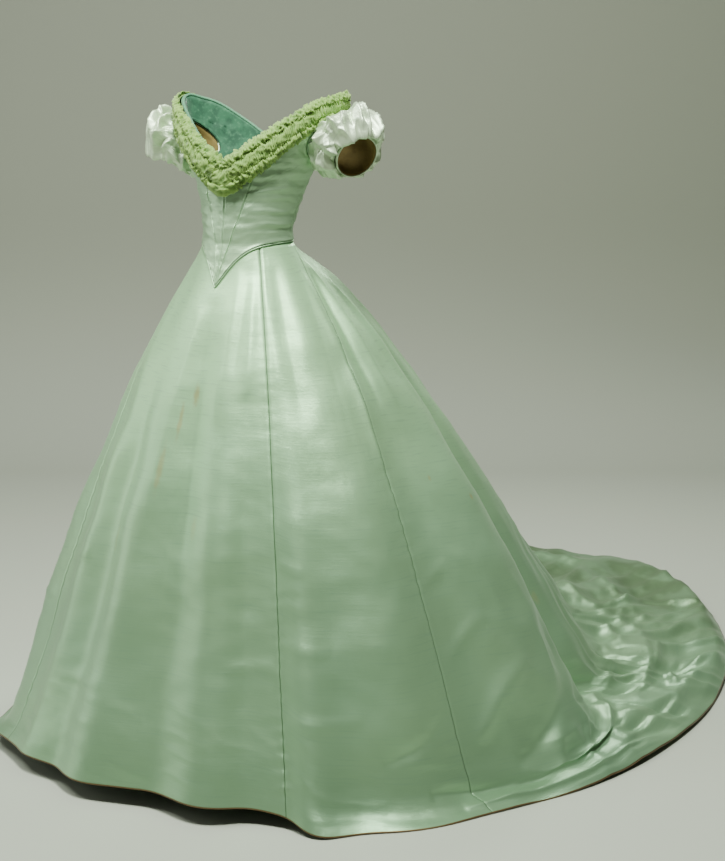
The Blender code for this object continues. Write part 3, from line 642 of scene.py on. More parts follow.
# The silk is pale green, with weft bars and slubs; painted light and shade make it lighter at the top,
# darker towards the hem, and darker still in patches far back on the train.
# Yellow streaks and spots lie where the photograph shows them, and a brown braid guards the hem.
SILK_LIT_TOP = (0.47, 0.80, 0.46)
SILK_SHADED_HEM = (0.235, 0.415, 0.262)
SILK_SHADE = (0.12, 0.19, 0.09)
SILK_MOTTLE = (0.38, 0.55, 0.27)
SILK_BAR = (0.22, 0.37, 0.25)
SILK_STAIN = (0.46, 0.44, 0.20)
BRAID = (0.16, 0.10, 0.045)
SEAM_SHADE = (0.06, 0.12, 0.05)
SILK_ROUGHNESS = 0.43
SILK_METALLIC = 0.55
STAINS = [
    ("hem", "down", "width", "length", "strength"),
    (0.015, 0.280, 0.014, 0.030, 0.75),
    (-0.030, 0.330, 0.010, 0.050, 0.65),
    (-0.065, 0.420, 0.012, 0.060, 0.60),
    (1.131, 0.469, 0.012, 0.008, 0.75),
    (0.965, 0.427, 0.009, 0.007, 0.55),
    (0.080, 0.520, 0.016, 0.030, 0.25),
    (-0.200, 0.560, 0.012, 0.040, 0.25),
    (1.600, 0.700, 0.016, 0.020, 0.30),
    (-1.200, 0.500, 0.014, 0.030, 0.30),
]


def silk(name, low, high, stained):
    """Satin from its low and high colours, which paint shade towards the hem and light towards the top
    where they differ, with weft bars; the skirt's has stains, braid and painted shade far back on the
    train.
    """
    made, shader, cloth, place = new_finish(
        name, SILK_ROUGHNESS, Metallic=SILK_METALLIC, Sheen_Weight=0.06, Sheen_Roughness=0.5)
    tall = place.axis(2)
    # Painted light and shade: the low colour darkens the hem and the high colour lightens the top.
    colour = tall.between(-0.80, -0.10).mix(low, high)
    colour = (place.noise(2.4) * 0.5).mix(colour, SILK_MOTTLE)
    bars = cloth.noise(1.0, 3.0, (9, 210, 1))
    slubs = cloth.noise(1.0, 2.0, (60, 1500, 1))
    colour = (bars.between(0.52, 0.72) * 0.30).mix(colour, SILK_BAR)
    if stained:
        lying = tall.between(-0.85, -1.02)
        (SILK_ROUGHNESS - lying * 0.05).feed(shader, "Roughness")
        (SILK_METALLIC + lying * 0.10).feed(shader, "Metallic")
        # Painted shade: the train lying far back is darkened in patches, where the gown keeps the light
        # off.
        shade_patches = 0.35 + place.noise(7.0).between(0.45, 0.60) * 0.45
        colour = (place.axis(1).between(0.75, 1.35) * lying * shade_patches).mix(colour, SILK_SHADE)
        ragged = cloth.noise(60.0)
        for hem, down, width, length, strength in column(STAINS, *STAINS[0]):
            off = cloth.vector("SUBTRACT", (hem, down * GORE_LENGTH, 0))
            off = off.vector("MULTIPLY", (1 / width, 1 / length, 0)).vector("LENGTH", out=1)
            colour = ((off + ragged).between(1.7, 0.7) * strength).mix(colour, SILK_STAIN)
        colour = (cloth.mark("from_seam").between(0.0018, 0.0004) * 0.6).mix(colour, SEAM_SHADE)
        colour = cloth.mark("from_hem").between(0.0035, 0.0025).mix(colour, BRAID)
    crinkle = place.noise(26.0, 6.0)
    wear(shader, colour, bars * 0.7 + slubs * 0.7 + crinkle * 0.9, 0.6, 0.0005)
    return made


skirt_silk = silk("skirt_satin", SILK_SHADED_HEM, SILK_LIT_TOP, True)
gore_down = spread(
    1, 0, GORE_ROWS, lambda down: 1 + TRAIN_ROWS * np.clip((down - TRAIN_START) / 0.05, 0, 1))[:, None]
for name, first, last, columns, cut, area in GORES[1:]:
    hem = spread(
        first + 1.5 * EDGE_STEPS[-1], last - 1.5 * EDGE_STEPS[-1], columns - 2 * len(EDGE_STEPS),
        lambda place: 1 + 1.3 * np.exp(-((place - BUSY_HEM) / BUSY_REACH) ** 2))
    hem = np.concatenate([first + EDGE_STEPS, hem, last - EDGE_STEPS[::-1]]) + 0 * gore_down
    down = gore_down + 0 * hem
    _, pace, _ = skirt_cloth(hem, down)
    hem[:, 0] += SEAM_GAP / 2 / np.maximum(pace[:, 0], 0.01)
    hem[:, -1] -= SEAM_GAP / 2 / np.maximum(pace[:, -1], 0.01)
    points, _, from_hem = skirt_cloth(hem, down)
    from_seam = np.minimum(hem - hem[:, :1], hem[:, -1:] - hem) * pace
    gore = wall(name + "_cloth", points, SATIN, skirt_silk, np.stack([hem, down * GORE_LENGTH], -1),
                marks={"from_hem": from_hem, "from_seam": from_seam})
    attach(gore, "root")
    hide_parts(name)


# Bodice
# Six panels of the same silk, cut to a point in front and seamed over the bust, under the arms and behind.
# Each panel lies on the body's sections, with a seam line at its edges and drag creases above the waist.
WAIST_SEAM = 0.0018
POINT_DIP = 0.0885
POINT_SPREAD = radians(20.5)
POINT_POWER = 1.15
POINT_GAP = 0.0023
NECKLINE = [
    ("angle", "height"),
    (0, 0.155),
    (12, 0.176),
    (24, 0.200),
    (43, 0.244),
    (60, 0.274),
    (78, 0.289),
    (95, 0.295),
    (112, 0.290),
    (130, 0.278),
    (150, 0.245),
    (168, 0.210),
    (180, 0.192),
]
SIDE_FRONT_SEAM = [
    ("up", "angle"),
    (0.00, 2.0),
    (0.12, 3.5),
    (0.20, 7.5),
    (0.28, 13.0),
    (0.36, 18.0),
    (0.50, 23.0),
    (0.70, 27.0),
    (1.00, 31.0),
]
SIDE_SEAM = [
    ("up", "angle"),
    (0.00, 92),
    (0.35, 96),
    (0.51, 98),
    (0.66, 91),
    (0.82, 84),
    (1.00, 84),
]
ARMHOLE_MIDDLE = 0.685
ARMHOLE_HALF = 0.145
ARMHOLE_FRONT = radians(22)
ARMHOLE_BACK = radians(36)
SEAM_ANGLE = 0.0017
BODICE_SILK = (0.41, 0.62, 0.41)
BODY_RADIUS = 0.11
DRAWN_HEIGHT = 0.075
DRAWN_REACH = 0.060
DRAWN_LIFTS = (0.0011, 0.0004)
RUCK_LIFT = 0.0006
CREASE_LIFT = 1.7
CREASE_NARROW = 0.75
SEAM_REACH = 0.006
SEAM_RIDGE = (0.0009, 0.0045, 0.0022)
SEAM_GROOVE = (0.0008, 0.0020)
EDGE_LIFT = 0.0005
BODICE_CREASES = [
    ("angle", "height", "end_angle", "end_height", "width", "lift"),
    (0.30, 0.098, 1.20, 0.112, 0.0050, 0.0016),
    (0.25, 0.086, 0.90, 0.082, 0.0045, -0.0014),
    (0.40, 0.070, 1.40, 0.060, 0.0050, 0.0016),
    (0.20, 0.058, 0.80, 0.048, 0.0040, 0.0012),
    (0.60, 0.044, 1.60, 0.034, 0.0045, 0.0014),
    (0.10, 0.105, 0.34, 0.128, 0.0045, 0.0013),
    (0.90, 0.130, 1.35, 0.108, 0.0050, 0.0016),
    (0.50, 0.024, 1.20, 0.020, 0.0040, 0.0010),
    (-0.30, 0.096, -1.10, 0.110, 0.0050, 0.0016),
    (-0.25, 0.080, -0.95, 0.076, 0.0045, -0.0014),
    (-0.40, 0.062, -1.30, 0.056, 0.0050, 0.0015),
    (-0.50, 0.040, -1.60, 0.034, 0.0045, 0.0014),
    (-0.10, 0.110, -0.34, 0.126, 0.0045, 0.0013),
    (1.90, 0.060, 2.90, 0.050, 0.0050, 0.0015),
    (1.80, 0.035, 2.70, 0.030, 0.0045, -0.0012),
    (2.00, 0.095, 2.80, 0.110, 0.0050, 0.0014),
    (-1.90, 0.058, -2.90, 0.052, 0.0050, 0.0015),
    (-1.80, 0.033, -2.60, 0.030, 0.0045, -0.0012),
    (-2.00, 0.098, -2.80, 0.108, 0.0050, 0.0014),
]


def lower_edge(angle):
    """Height of the bodice's lower edge, which dips to a point at the front."""
    return WAIST_SEAM - POINT_DIP * np.exp(-((np.abs(angle) / POINT_SPREAD) ** POINT_POWER))


def neckline(angle):
    """Height of the neckline, the same on both sides."""
    return smooth(np.radians(column(NECKLINE, "angle")), column(NECKLINE, "height"), np.abs(angle))


def hem_of(angle):
    """The hem distance of the skirt's line that starts at this angle of the waist."""
    waist = np.radians(column(SKIRT, "waist"))
    return np.interp(np.abs(angle), waist, column(SKIRT, "hem")) * np.where(angle < 0, -1, 1)


def torso(angle, height):
    """The bodice's outer surface: the body above the waist, and a layer over the skirt below it."""
    angle = angle + 0 * height
    down = np.clip(height / FLOOR, 0, 1)
    below = skirt_base(hem_of(angle), down)
    below = below + WAIST_INSET * unit(below * [1, 1, 0])
    return np.where((height < 0)[..., None], below, body(angle, np.maximum(height, 0)))


def torso_normal(angle, height):
    """Square to the torso, outwards, from small steps round it and up it."""
    step = 2e-3
    round_it = torso(angle + step, height) - torso(angle - step, height)
    up_it = torso(angle, height + step) - torso(angle, height - step)
    return unit(np.cross(round_it, up_it))


def on_torso(angle, height, lift):
    """A point of the torso moved out by this much."""
    return torso(angle, height) + torso_normal(angle, height) * np.asarray(lift)[..., None]


def bodice_height(angle, up):
    """Height on the bodice at this share of the way from its lower edge to the neckline."""
    step = 1e-3
    slope = (lower_edge(angle + step) - lower_edge(angle - step)) / (2 * step * BODY_RADIUS)
    low = lower_edge(angle) + POINT_GAP * np.sqrt(1 + slope ** 2)
    return low + up * (neckline(angle) - low)


def side_seam(up):
    """Angle of the side seam at this share of the bodice's height."""
    return np.radians(table_at(SIDE_SEAM, up))


def armhole_edge(up, reach):
    """Angle by which the armhole cuts into a panel at this height of the panel."""
    inside = 1 - ((up - ARMHOLE_MIDDLE) / ARMHOLE_HALF) ** 2
    return reach * np.sqrt(np.maximum(inside, 0))


def bodice_panel(name, from_edge, to_edge, ups, columns, side):
    """A panel between two seams, each an angle for every row; side is -1 for its mirror image.

    It rises with its creases and drawn folds, less at its edges, where a ridge runs beside the groove.
    """
    across = np.sin(np.linspace(-pi / 2, pi / 2, columns)) / 2 + 0.5
    up = ups[:, None] + 0 * across
    angle = (from_edge + SEAM_ANGLE)[:, None] * (1 - across) + (to_edge - SEAM_ANGLE)[:, None] * across
    if side < 0:
        angle = -angle[:, ::-1]
    height = bodice_height(angle, up)
    flat = torso(angle, height)
    reach = np.linalg.norm(flat[:, 1:] - flat[:, :-1], axis=-1)
    run = np.concatenate([0 * reach[:, :1], np.cumsum(reach, axis=1)], axis=1)
    away = np.minimum(run, run[:, -1:] - run)
    creases = column(BODICE_CREASES, *BODICE_CREASES[0]) * [1, 1, 1, 1, CREASE_NARROW, 1]
    lift = CREASE_LIFT * crease_height(flat, creases, torso, 1.2) + RUCK_LIFT * rumple(flat, 0.05, 0.02, 4)
    drawn = np.exp(-(((height - DRAWN_HEIGHT) / DRAWN_REACH) ** 2))
    lift = lift + DRAWN_LIFTS[0] * drawn * crests(flat * [1, 1, 3.2], 0.10, 21)
    lift = lift + DRAWN_LIFTS[1] * crests(flat * [1, 1, 2.5], 0.04, 22)
    ridge, ridge_away, ridge_width = SEAM_RIDGE
    lift = lift * np.clip(away / SEAM_REACH, 0.2, 1)
    lift = lift + ridge * np.exp(-((away - ridge_away) / ridge_width) ** 2)
    lift = lift - SEAM_GROOVE[0] * np.exp(-((away / SEAM_GROOVE[1]) ** 2))
    lift = lift + EDGE_LIFT * np.exp(-((up / 0.02) ** 2))
    points = on_torso(angle, height, lift)
    panel = wall(name + "_cloth", points, SATIN, bodice_silk, np.stack([run, height], -1))
    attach(panel, "root")
    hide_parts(name)


bodice_silk = silk("bodice_satin", BODICE_SILK, BODICE_SILK, False)
ups = np.concatenate([
    np.linspace(0, ARMHOLE_MIDDLE - ARMHOLE_HALF, 62)[:-1],
    ARMHOLE_MIDDLE + ARMHOLE_HALF * np.sin(np.linspace(-pi / 2, pi / 2, 42)),
    np.linspace(ARMHOLE_MIDDLE + ARMHOLE_HALF, 1, 15)[1:]])
side_front = np.radians(table_at(SIDE_FRONT_SEAM, ups))
for hand, side in (("left", 1), ("right", -1)):
    front_armhole = side_seam(ups) - armhole_edge(ups, ARMHOLE_FRONT)
    back_armhole = side_seam(ups) + armhole_edge(ups, ARMHOLE_BACK)
    bodice_panel(f"bodice_front_{hand}", 0 * ups, side_front, ups, 22, side)
    bodice_panel(f"bodice_side_front_{hand}", side_front, front_armhole, ups, 44, side)
    bodice_panel(f"bodice_back_{hand}", back_armhole, 0 * ups + pi, ups, 50, side)


# Piping
# A satin-covered cord is sewn round the bodice's lower edge, and a finer one round each armhole.
# Each is a tube round a closed path, with the stitches' shallow dents along it.
PIPING_RADIUS = 0.0013
PIPING_GAP = 0.0012
PIPING_STATIONS = 520
PIPING_SIDES = 10
POINT_CROWDING = 0.765
CORD_RADIUS = 0.0011
CORD_STATIONS = 240


def tube_wall(name, path, radius, finish):
    """A cord round a closed path: a ring of points at each station, square to the path."""
    along = unit(np.roll(path, -1, 0) - np.roll(path, 1, 0))
    out = unit(path * [1, 1, 0])
    out = unit(out - along * (out * along).sum(-1, keepdims=True))
    up = np.cross(along, out)
    turn = np.linspace(0, 2 * pi, PIPING_SIDES, endpoint=False)
    ring = out[:, None] * np.cos(turn)[:, None] + up[:, None] * np.sin(turn)[:, None]
    points = (path[:, None] + radius[:, None, None] * ring).reshape(-1, 3)
    stations = len(path)
    row, col = np.meshgrid(np.arange(stations), np.arange(PIPING_SIDES), indexing="ij")
    ahead, beside = (row + 1) % stations * PIPING_SIDES, (col + 1) % PIPING_SIDES
    row = row * PIPING_SIDES
    quads = np.stack([row + col, row + beside, ahead + beside, ahead + col], -1).reshape(-1, 4)
    lengths = np.linalg.norm(np.roll(path, -1, 0) - path, axis=1).cumsum()
    flat = np.stack([np.repeat(lengths, PIPING_SIDES), np.tile(turn * 0.001, stations)], -1)
    return add_mesh(name, points, quads, flat[quads], finish, len(quads))


def armhole_place(turn, share=1.0):
    """Angle and height round the left armhole: turn 0 is its top and a quarter turn its front.

    A share below 1 gives a smaller ring inside it.
    """
    up = ARMHOLE_MIDDLE + share * ARMHOLE_HALF * np.cos(turn)
    reach = np.where(np.sin(turn) > 0, ARMHOLE_FRONT, ARMHOLE_BACK)
    angle = side_seam(up) - share * reach * np.sin(turn)
    return angle, bodice_height(angle, up)


def armhole_path(side, lift):
    """A closed path round an armhole, moved out from the torso by this much; side is -1 on the right."""
    angle, height = armhole_place(np.linspace(0, 2 * pi, CORD_STATIONS, endpoint=False))
    return on_torso(angle * side, height, lift + 0 * angle)


angle = np.linspace(-pi, pi, PIPING_STATIONS, endpoint=False)
angle = angle - POINT_CROWDING * np.sin(angle)
path = on_torso(angle, lower_edge(angle), PIPING_RADIUS + PIPING_GAP - WAIST_INSET + 0 * angle)
radius = PIPING_RADIUS * (0.97 + 0.05 * np.sin(angle * 190))
piping = tube_wall("bodice_piping_cord", path, radius, bodice_silk)
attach(piping, "root")
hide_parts("bodice_piping")

turn = np.linspace(0, 2 * pi, CORD_STATIONS, endpoint=False)
radius = CORD_RADIUS * (1 + 0.05 * np.sin(turn * 60))
for hand, side in (("left", 1), ("right", -1)):
    path = armhole_path(side, CORD_RADIUS)
    cord = tube_wall(f"armhole_piping_{hand}", path, radius, bodice_silk)
    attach(cord, "root")


# Bodice lining
# Teal cotton, sewn in under the neckline in a front and a back piece that meet under the arms.
# Each is one wall inside the satin, a little loose, so that it ripples between its stitched edges.
LINING = 0.0010
LINING_GAP = 0.0032
LINING_SHARE = 0.985
LINING_START = 0.005
LINING_HIGH = (0.024, 0.130, 0.062)
LINING_LOW = (0.011, 0.075, 0.036)
LINING_PALE = (0.060, 0.215, 0.110)
LINING_COLUMNS = 76
LINING_RIPPLE = 0.0009
LINING_SLACK = 0.0008

lining_cotton, shader, cloth, place = new_finish("bodice_lining", 0.78, Sheen_Weight=0.2)
blotch = place.noise(46.0, 5.0)
weave = cloth.noise(1.0, 2.0, (900, 900, 1))
colour = blotch.between(0.35, 0.62).mix(LINING_LOW, LINING_HIGH)
colour = (place.noise(120.0, 4.0).between(0.50, 0.75) * 0.7).mix(colour, LINING_PALE)
wear(shader, colour, blotch * 0.8 + weave * 0.2, 0.5, 0.002)
across = np.linspace(-1, 1, LINING_COLUMNS)
ups = ups[::2]
for name, middle, half in (
        ("lining_front", 0.0, side_seam(ups) - armhole_edge(ups, ARMHOLE_FRONT)),
        ("lining_back", pi, pi - side_seam(ups) - armhole_edge(ups, ARMHOLE_BACK))):
    angle = middle + across * (half - SEAM_ANGLE)[:, None]
    wrapped = np.arctan2(np.sin(angle), np.cos(angle))
    height = LINING_START + ups[:, None] * (neckline(wrapped) * LINING_SHARE - LINING_START)
    loose = np.clip(np.minimum(ups, 1 - ups) * 8, 0, 1)[:, None]
    flat = torso(angle, height)
    slack = loose * (LINING_RIPPLE * rumple(flat, 0.035, 0.018, 5) - LINING_SLACK)
    points = on_torso(angle, height, slack - SATIN - LINING_GAP)
    cloth = np.stack([angle * 0.13, height], -1)
    lining = wall(name + "_cloth", points, LINING, lining_cotton, cloth)
    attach(lining, "root")
    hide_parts(name)


# Bindings
# A teal strip covers the raw edges of silk and lining round the neck and round each armhole.
# Each is a tube round a closed path, halfway through the bodice's two layers.
BINDING = (0.120, 0.290, 0.180)
BINDING_RADIUS = 0.0034
BINDING_DROP = 0.0010
BINDING_DEPTH = 0.0036

binding_silk, shader, cloth, place = new_finish("binding", 0.6)
weave = cloth.noise(1.0, 2.0, (700, 700, 1))
wear(shader, place.noise(160.0).mix(BINDING, LINING_PALE), weave, 0.3, 0.0005)
turn = np.linspace(0, 2 * pi, PIPING_STATIONS, endpoint=False)
angle = turn - pi
path = on_torso(angle, neckline(angle) - BINDING_DROP, -BINDING_RADIUS + 0 * angle)
radius = BINDING_RADIUS * (1 + 0.04 * np.sin(turn * 120))
binding = tube_wall("neck_binding", path, radius, binding_silk)
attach(binding, "root")
radius = np.full(CORD_STATIONS, BINDING_RADIUS)
for hand, side in (("left", 1), ("right", -1)):
    path = armhole_path(side, -BINDING_DEPTH)
    binding = tube_wall(f"armhole_binding_{hand}", path, radius, lining_cotton)
    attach(binding, "root")


# Bertha
# Yellow-green silk tulle: a band drawn up in crowded pleats, with a crumpled frill above it and below it.
# Each piece is one closed wall round the neckline; pleats, waves and crumples are worked out along it.
BERTHA_WIDTH = [
    ("angle", "width"),
    (0, 0.056),
    (12, 0.058),
    (25, 0.060),
    (45, 0.054),
    (60, 0.044),
    (75, 0.037),
    (90, 0.036),
    (130, 0.040),
    (180, 0.046),
]
BERTHA_PARTS = [
    ("pleats", "pleat", "lump", "lump_size", "ragged", "phase", "rows", "length", "width"),
    (250, 0.0017, 0.0015, 0.028, 0.00, 0.4, 26, 1.80, 0.066),
    (230, 0.0013, 0.0026, 0.016, 0.10, 1.7, 14, 1.60, 0.034),
    (240, 0.0013, 0.0026, 0.018, 0.10, 2.9, 14, 1.60, 0.034),
]
BERTHA_ROWS = {
    "bertha_band": [
        ("across", "lift"), (0.01, 0.004), (0.28, 0.018), (0.66, 0.020), (0.99, 0.005)],
    "bertha_top_frill": [
        ("across", "lift"), (-0.17, 0.007), (-0.03, 0.0145), (0.13, 0.0190), (0.27, 0.0150)],
    "bertha_bottom_frill": [
        ("across", "lift"), (0.70, 0.0150), (0.83, 0.0195), (0.99, 0.0160), (1.13, 0.006)],
}
BERTHA_REST = 0.0020
BERTHA_RISE = 0.002
BERTHA_BACK_DROP = 0.014
BERTHA_DROP_START = radians(100)
BERTHA_DROP_TURN = radians(30)
BERTHA_COLUMNS = 1100
BERTHA_LENGTH = 1.15
BERTHA_CLOTH = 0.0012
BERTHA_DEPTH = 0.06
LEAST_LIFT = 0.35
TOP_HEIGHT = 0.305
LEAST_DETAIL = 0.4
PLEAT_LEANS = (2.6, 1.2)
TEAR_SHARE = 0.3
TULLE_LIGHT = (0.285, 0.450, 0.100)
TULLE_SHADE = (0.115, 0.230, 0.035)
POINT_PLEATS = 16
POINT_REACH = 0.022


def bertha_surface(turn, across, lift):
    """A point beside the neckline: across runs down from the edge, square to it, in bertha widths.

    Above the torso's top it goes straight up.
    """
    step = 1e-2
    width = smooth(np.radians(column(BERTHA_WIDTH, "angle")), column(BERTHA_WIDTH, "width"), np.abs(turn))
    ahead = torso(turn + step, neckline(turn + step))
    behind = torso(turn - step, neckline(turn - step))
    run = np.linalg.norm((ahead - behind)[..., :2], axis=-1)
    slope = (ahead - behind)[..., 2] / run
    per_angle = run / (2 * step)
    square = np.sqrt(1 + slope ** 2)
    angle = turn + across * width * slope / square / per_angle
    behind_shoulder = np.clip((np.abs(turn) - BERTHA_DROP_START) / BERTHA_DROP_TURN, 0, 1)
    edge = neckline(turn) + BERTHA_RISE - BERTHA_BACK_DROP * behind_shoulder
    height = edge - across * width / square
    inside = np.minimum(height, TOP_HEIGHT)
    fullness = LEAST_LIFT + (1 - LEAST_LIFT) * width / BERTHA_WIDTH[1][1]
    raised = on_torso(angle, inside, BERTHA_REST + lift * fullness)
    return raised + np.stack([0 * height, 0 * height, height - inside], -1)


tulle, shader, cloth, place = new_finish("tulle", 0.85, Sheen_Weight=0.35)
fold_shade = cloth.mark("fold_shade")
fine = cloth.noise(1.0, 3.0, (420, 45, 1))
net = place.noise(500.0)
# Painted shade: the pleats' hollows take the shaded colour and their crests the lit one.
colour = (fold_shade + fine * 0.5 + net * 0.3 - 0.4).between(0.05, 0.85).mix(TULLE_SHADE, TULLE_LIGHT)
wear(shader, colour, fine * 0.65 + net * 0.35, 0.8, 0.0022)
fine_turn = np.linspace(-pi, pi, 2001)
edge_steps = np.linalg.norm(np.diff(torso(fine_turn, neckline(fine_turn)), axis=0), axis=-1)
edge_run = np.concatenate([[0], edge_steps.cumsum()]) / edge_steps.sum()
share_round = spread(
    0, 1, BERTHA_COLUMNS + 1, lambda share: 1 + 3 * np.exp(-(((share - 0.5) / POINT_REACH) ** 2)))[:-1]
extra_pleats = POINT_PLEATS * pi * np.tanh((share_round - 0.5) / POINT_REACH)
turn = np.interp(share_round, edge_run, fine_turn)
for (name, table), (pleats, pleat, lump, size, ragged, phase, rows, length, width) in zip(
        BERTHA_ROWS.items(), BERTHA_PARTS[1:]):
    share = np.linspace(0, 1, rows)[::-1, None]
    stops = np.linspace(0, 1, len(table) - 1)
    torn = np.sin(62 * pi * share_round + 3 * np.sin(22 * pi * share_round + phase))
    torn = torn + np.sin(134 * pi * share_round + 2 * np.sin(46 * pi * share_round))
    across = smooth(stops, column(table, "across"), share)
    across = across + ragged * TEAR_SHARE * torn * (2 * share - 1) ** 2
    lift = smooth(stops, column(table, "lift"), share)
    loose = np.clip(lift / np.max(column(table, "lift")), 0, 1)
    flat = bertha_surface(turn + 0 * across, across, lift + 0 * across)
    lean = PLEAT_LEANS[0] * rumple(flat, 0.050, 0.050, int(10 * phase))
    lean = lean + PLEAT_LEANS[1] * rumple(flat, 0.020, 0.020, 3)
    folded = 1 - 2 * np.abs(np.sin(pleats * pi * share_round + extra_pleats + lean)) ** 0.8
    lumps = crests(flat, size, 6) + 0.6 * crests(flat, size / 2, 7)
    detail = pleat * folded + lump * lumps
    lift = detail * (LEAST_DETAIL + (1 - LEAST_DETAIL) * loose)
    points = flat + grid_normals(flat, True) * lift[..., None]
    # How high each point stands in its pleats, which sets the painted shade in the hollows.
    fold_shade = np.clip(0.5 + detail / (2.4 * (pleat + lump)), 0, 1)
    cloth = np.stack([share_round * BERTHA_LENGTH + 0 * across, across * BERTHA_DEPTH], -1)
    frill = wall(name + "_cloth", points, BERTHA_CLOTH, tulle, cloth, BERTHA_LENGTH, {"fold_shade": fold_shade})
    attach(frill, "root")
    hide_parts(name)


# Sleeves
# Short puffs of the silk, gathered into the armhole and into a cuff band, over a brown cotton lining.
# A sleeve is rings along a bent path; crisp folds run out from its gathered ends.
SLEEVE_LEFT = [
    ("along", "x", "y", "z", "radius"),
    (0.00, 0.157, 0.0310, 0.1980, 0.0440),
    (0.08, 0.170, 0.0305, 0.1960, 0.0560),
    (0.20, 0.185, 0.0290, 0.1990, 0.0680),
    (0.38, 0.203, 0.0260, 0.2040, 0.0725),
    (0.56, 0.219, 0.0210, 0.2040, 0.0725),
    (0.74, 0.234, 0.0160, 0.1950, 0.0680),
    (0.88, 0.243, 0.0125, 0.1830, 0.0580),
    (1.00, 0.238, 0.0150, 0.1770, 0.0460),
]
SLEEVE_RIGHT = [
    ("along", "x", "y", "z", "radius"),
    (0.00, 0.157, 0.0310, 0.1980, 0.0440),
    (0.08, 0.168, 0.0315, 0.1970, 0.0550),
    (0.20, 0.178, 0.0300, 0.2000, 0.0660),
    (0.38, 0.187, 0.0280, 0.2030, 0.0720),
    (0.56, 0.196, 0.0230, 0.1970, 0.0725),
    (0.74, 0.202, 0.0180, 0.1790, 0.0680),
    (0.88, 0.202, 0.0140, 0.1610, 0.0580),
    (1.00, 0.197, 0.0155, 0.1590, 0.0460),
]
SLEEVE_IN = (0.93, -0.05, -0.35)
LEFT_OUT = (0.77, -0.45, -0.46)
RIGHT_OUT = (0.45, -0.35, -0.82)
SLEEVE_SHARE = 0.955
SLEEVE_BLEND = 0.2
LINING_INSIDE = 0.915
CUFF_START = 0.0005
CUFF_LENGTH = 0.009
CUFF_RADIUS = 0.0450
CUFF_BULGE = 0.0006
LINING_LEFT = [
    ("along", "x", "y", "z", "radius"),
    (0.00, 0.157, 0.0310, 0.1980, 0.0360),
    (0.35, 0.190, 0.0280, 0.1965, 0.0360),
    (0.70, 0.2215, 0.0235, 0.1865, 0.0395),
    (1.00, 0.2438, 0.0116, 0.1736, 0.0424),
]
LINING_RIGHT = [
    ("along", "x", "y", "z", "radius"),
    (0.00, 0.157, 0.0310, 0.1980, 0.0360),
    (0.35, 0.183, 0.0290, 0.1970, 0.0360),
    (0.70, 0.188, 0.0227, 0.1758, 0.0395),
    (1.00, 0.2004, 0.0129, 0.1528, 0.0424),
]
# Painted light: the sleeves' silk is paler than the rest of the satin, standing in for the bright light on
# the puffs.
SLEEVE_SILK_LIT = (0.76, 0.88, 0.67)
LINING_BROWN = (0.140, 0.095, 0.020)
LINING_TAN = (0.230, 0.165, 0.045)
SLEEVE_CUT = (0.42, 0.15)
CUFF_CUT = (0.29, 0.010)
TUBE_CUT = (0.29, 0.085)
FOLD_LIFT = 1.5
CREST_RADIUS = 0.07
CREST_LENGTH = 0.06
CRESTS = [
    ("lift", "size", "seed"),
    (0.0048, 0.060, 8),
    (0.0018, 0.026, 9),
]
SAG_TURN = 0.3
SAG_MIDDLE = 0.93
SAG_REACH = 0.07
SAG_OUT = 0.015
SAG_DOWN = 0.010
SLEEVE_ROWS = 76
SLEEVE_COLUMNS = 250
LEFT_CREASES = [
    ("turn", "along", "end_turn", "end_along", "width", "height"),
    (0.88, 0.06, 0.96, 0.82, 0.0045, 0.0075),
    (0.96, 0.76, 0.40, 1.00, 0.0040, 0.0055),
    (1.62, 0.68, 0.95, 1.00, 0.0035, 0.0065),
    (1.62, 0.72, 1.37, 1.00, 0.0035, 0.0055),
    (1.42, 0.78, 1.05, 0.98, 0.0045, -0.0055),
    (1.20, 0.20, 1.30, 0.66, 0.0070, -0.0060),
    (0.53, 0.46, 0.80, 0.86, 0.0032, 0.0045),
    (0.08, 0.40, 0.16, 0.86, 0.0045, 0.0070),
    (0.16, 0.80, -0.37, 1.00, 0.0040, 0.0050),
    (0.00, 0.50, -0.23, 0.90, 0.0040, 0.0070),
    (0.03, 0.60, -0.08, 0.94, 0.0032, -0.0060),
    (-0.53, 0.40, -0.72, 0.86, 0.0045, 0.0070),
    (-0.72, 0.80, -0.95, 0.99, 0.0040, 0.0050),
    (-0.38, 0.50, -0.50, 0.95, 0.0045, -0.0065),
    (0.20, 0.30, 0.42, 0.84, 0.0045, -0.0060),
    (0.90, 0.03, 1.84, 0.52, 0.0045, 0.0065),
    (1.84, 0.48, 2.36, 0.62, 0.0040, 0.0050),
    (1.82, 0.52, 1.87, 0.90, 0.0045, -0.0060),
    (2.10, 0.40, 2.20, 0.95, 0.0042, 0.0055),
    (0.70, 0.14, 1.04, 0.36, 0.0045, -0.0060),
    (-1.10, 0.40, -1.12, 0.90, 0.0045, 0.0065),
    (-1.60, 0.20, -1.50, 0.90, 0.0045, -0.0055),
    (2.67, 0.40, 2.98, 0.95, 0.0045, 0.0055),
    (-2.10, 0.10, -2.00, 0.85, 0.0050, 0.0060),
    (-2.70, 0.10, -2.60, 0.90, 0.0050, 0.0055),
    (-3.10, 0.15, -3.00, 0.90, 0.0045, -0.0050),
]
